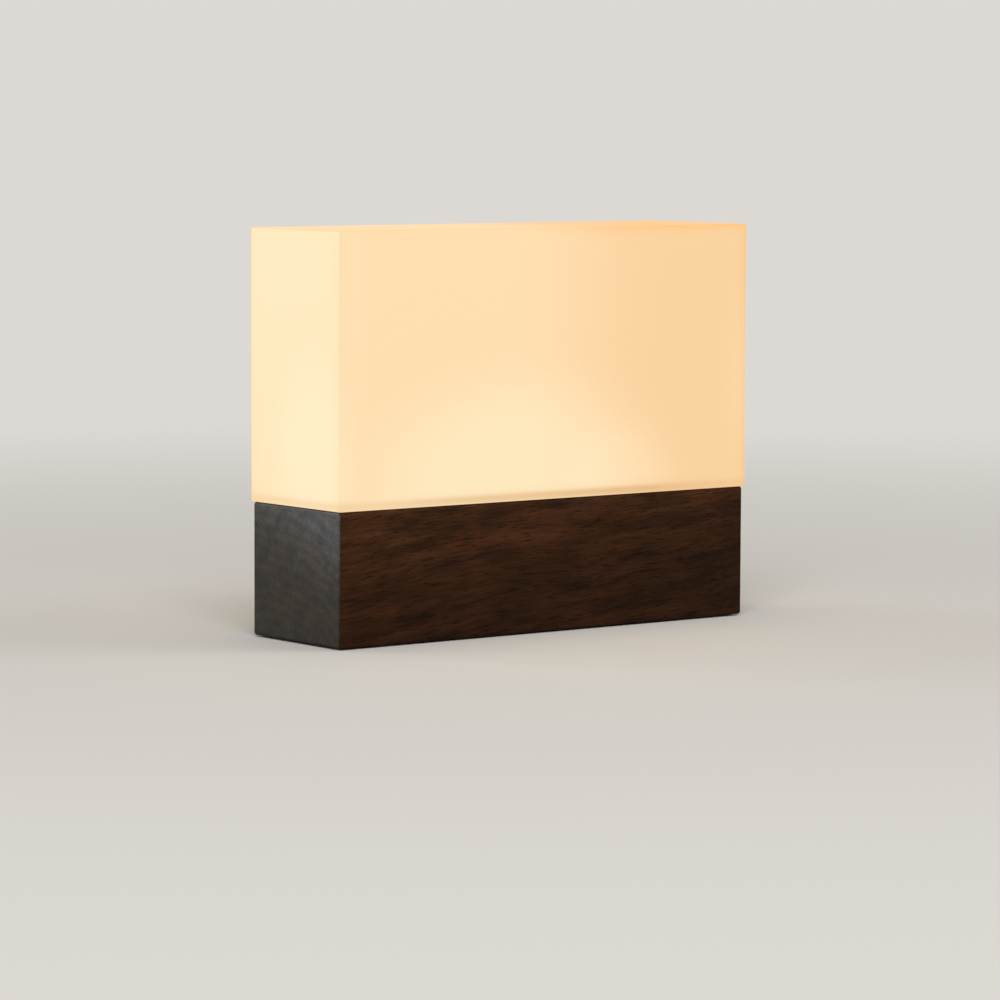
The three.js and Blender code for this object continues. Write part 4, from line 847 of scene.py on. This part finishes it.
# Light fills the box from below, so its glow is hottest low down and left of the middle, turns
# deeper orange away from there, and deepest in the last millimetres of the edges. The rim of the
# tray keeps light from the lowest 2 mm, which show tan.
opal, tree, surface, place = start_finish("lit_opal_acrylic")
parts = add(tree, "SeparateXYZ", {0: place})
glow = add(tree, "MapRange", {"Value": parts.outputs["X"], "From Min": GLOW_START, "From Max": GLOW_FULL,
                              "To Max": GLOW}, interpolation_type="SMOOTHSTEP").outputs[0]
for centre, reach, strength in HOT_SPOTS:
    away = add(tree, "VectorMath", {0: place, 1: centre}, operation="SUBTRACT")
    spread = add(tree, "VectorMath", {0: away.outputs[0], 1: [1 / side for side in reach]},
                 operation="MULTIPLY")
    distance = add(tree, "VectorMath", {0: spread.outputs[0]}, operation="LENGTH")
    spot = add(tree, "MapRange", {"Value": distance.outputs["Value"], "From Min": SPOT_CORE,
                                  "From Max": SPOT_EDGE, "To Min": strength, "To Max": 0.0},
               interpolation_type="SMOOTHSTEP")
    glow = add(tree, "Math", {0: glow, 1: spot.outputs[0]}, operation="ADD").outputs[0]
shade = add(tree, "ValToRGB", {"Fac": glow}, stops=GLOW_SHADES)
# how far a point lies from the nearest upright edge and from the top
gaps = []
for axis, half in (("X", BOX.x / 2), ("Y", BOX.y / 2)):
    side = add(tree, "Math", {0: parts.outputs[axis]}, operation="ABSOLUTE")
    gaps.append(add(tree, "Math", {0: half, 1: side.outputs[0]}, operation="SUBTRACT").outputs[0])
from_edge = add(tree, "Math", {0: gaps[0], 1: gaps[1]}, operation="ADD")
from_top = add(tree, "Math", {0: BOX_TOP, 1: parts.outputs["Z"]}, operation="SUBTRACT")
nearest = add(tree, "Math", {0: from_edge.outputs[0], 1: from_top.outputs[0]}, operation="MINIMUM")
line = add(tree, "MapRange", {"Value": nearest.outputs[0], "From Min": BOX_EDGE, "From Max": EDGE_REACH,
                              "To Min": 1.0, "To Max": 0.0})
thin = add(tree, "Math", {0: line.outputs[0], 1: EDGE_FALL}, operation="POWER")
dim = add(tree, "MapRange", {"Value": glow, "From Max": GLOW, "To Min": EDGE_WHERE_DIM,
                             "To Max": EDGE_WHERE_HOT})
edging = add(tree, "Math", {0: thin.outputs[0], 1: dim.outputs[0]}, operation="MULTIPLY")
edged = add(tree, "Mix", {0: edging.outputs[0], 6: shade.outputs["Color"], 7: linear(EDGE_ORANGE)},
            data_type="RGBA")
seam = add(tree, "MapRange", {"Value": from_edge.outputs[0], "From Min": SEAM_PLACE[0],
                              "From Max": SEAM_PLACE[1], "To Min": SEAM_SHADE})
seamed = add(tree, "VectorMath", {0: edged.outputs[2], "Scale": seam.outputs[0]}, operation="SCALE")
lid = add(tree, "ValToRGB", {"Fac": from_top.outputs[0]}, stops=[(0.02, LID_TINT), (BOX_EDGE, "#ffffff")])
lidded = add(tree, "VectorMath", {0: seamed.outputs[0], 1: lid.outputs["Color"]}, operation="MULTIPLY")
height = add(tree, "MapRange", {"Value": parts.outputs["Z"], "From Min": BOX_BOTTOM,
                                "From Max": BOX_BOTTOM + RIM_HEIGHT})
rim = add(tree, "ValToRGB", {"Fac": height.outputs[0]}, stops=RIM_UP_SHARES)
across = add(tree, "MapRange", {"Value": parts.outputs["X"], "From Min": -BOX.x / 2,
                                "From Max": BOX.x / 2})
rim_along = add(tree, "ValToRGB", {"Fac": across.outputs[0]}, stops=RIM_ALONG_SHARES)
tan = add(tree, "Math", {0: rim.outputs["Color"], 1: rim_along.outputs["Color"]}, operation="MULTIPLY")
banded = add(tree, "Mix", {0: tan.outputs[0], 6: lidded.outputs[0], 7: linear(RIM_TAN)},
             data_type="RGBA")
tree.links.new(banded.outputs[2], surface.inputs["Emission Color"])
surface.inputs["Emission Strength"].default_value = 1.0
haze = add(tree, "TexNoise", {"Vector": place, "Scale": 1 / HAZE_SIZE, "Detail": 3.0}).outputs["Fac"]
milk = add(tree, "ValToRGB", {"Fac": haze}, stops=[(0.3, MILK_DARK), (0.7, MILK_PALE)])
tree.links.new(milk.outputs["Color"], surface.inputs["Base Color"])
satin = add(tree, "MapRange", {"Value": haze, "To Min": SATIN_LOW, "To Max": SATIN_HIGH})
tree.links.new(satin.outputs[0], surface.inputs["Roughness"])
surface.inputs["IOR"].default_value = 1.49
dress(diffuser, opal, nodes=["diffuser"])


# Studio. A plain pale floor, one large soft lamp in front on the left, a weaker one on the right,
# one behind on the left that gives the end grain its sheen, and a pale surround.
FLOOR_HALF = 12.0  # metres
PALE, FLOOR_ROUGHNESS, FLOOR_SPECULAR = "#dcd9d4", 0.9, 0.1
HAZE_START, HAZE_FULL = 80.0, 700.0  # from the light, where the floor runs into the surround
AIM = Vector((0, 0, 0.04))  # what the lamps point at, in metres
LAMPS = (  # name, place and width in metres, and power in watts
    ("key", (-0.75, -1.0, 1.2), 1.0, 15.0),
    ("fill", (1.3, -0.9, 0.9), 1.0, 7.5),
    ("sheen", (-1.0, 1.3, 0.3), 0.9, 9.0),
)
SURROUND_LIGHT = 0.5  # what the surround gives as light, where it is seen at 1


def show(tree):
    """1 for what the camera sees straight or in a reflection or through glass, else 0."""
    path = add(tree, "LightPath")
    seen = add(tree, "Math", {0: path.outputs["Is Camera Ray"], 1: path.outputs["Is Glossy Ray"]},
               operation="MAXIMUM")
    either = add(tree, "Math", {0: seen.outputs[0], 1: path.outputs["Is Transmission Ray"]},
                 operation="MAXIMUM")
    return either.outputs[0]


floor_data = bpy.data.meshes.new("floor")
corners = [(x * FLOOR_HALF, y * FLOOR_HALF, 0) for x, y in ((-1, -1), (1, -1), (1, 1), (-1, 1))]
floor_data.from_pydata(corners, [], [range(len(corners))])
floor = bpy.data.objects.new("floor", floor_data)
bpy.context.scene.collection.objects.link(floor)
floor_finish, tree, surface, place = start_finish("pale_matt_floor")
surface.inputs["Base Color"].default_value = linear(PALE)
surface.inputs["Roughness"].default_value = FLOOR_ROUGHNESS
surface.inputs["Specular IOR Level"].default_value = FLOOR_SPECULAR
# far from the object the floor runs into the surround without an edge
far = add(tree, "VectorMath", {0: place}, operation="LENGTH")
beyond = add(tree, "MapRange", {"Value": far.outputs["Value"], "From Min": HAZE_START,
                                "From Max": HAZE_FULL}, interpolation_type="SMOOTHSTEP")
seen = add(tree, "Math", {0: beyond.outputs[0], 1: show(tree)}, operation="MULTIPLY")
distant = add(tree, "Emission", {"Color": linear(PALE), "Strength": 1.0})
blend = add(tree, "MixShader", {0: seen.outputs[0], 1: surface.outputs[0], 2: distant.outputs[0]})
tree.links.new(blend.outputs[0], tree.nodes["Material Output"].inputs["Surface"])
floor_data.materials.append(floor_finish)

for name, spot, width, power in LAMPS:
    lamp = bpy.data.lights.new(name, "AREA")
    lamp.size = width
    lamp.energy = power
    holder = bpy.data.objects.new(name, lamp)
    holder.location = spot
    holder.rotation_euler = (AIM - Vector(spot)).to_track_quat("-Z", "Y").to_euler()
    bpy.context.scene.collection.objects.link(holder)

world = bpy.data.worlds.new("studio")
world.use_nodes = True
bpy.context.scene.world = world
tree = world.node_tree
background = tree.nodes["Background"]
background.inputs["Color"].default_value = linear(PALE)
level = add(tree, "MapRange", {"Value": show(tree), "To Min": SURROUND_LIGHT})
tree.links.new(level.outputs[0], background.inputs["Strength"])

bpy.context.scene.view_settings.view_transform = "Standard"
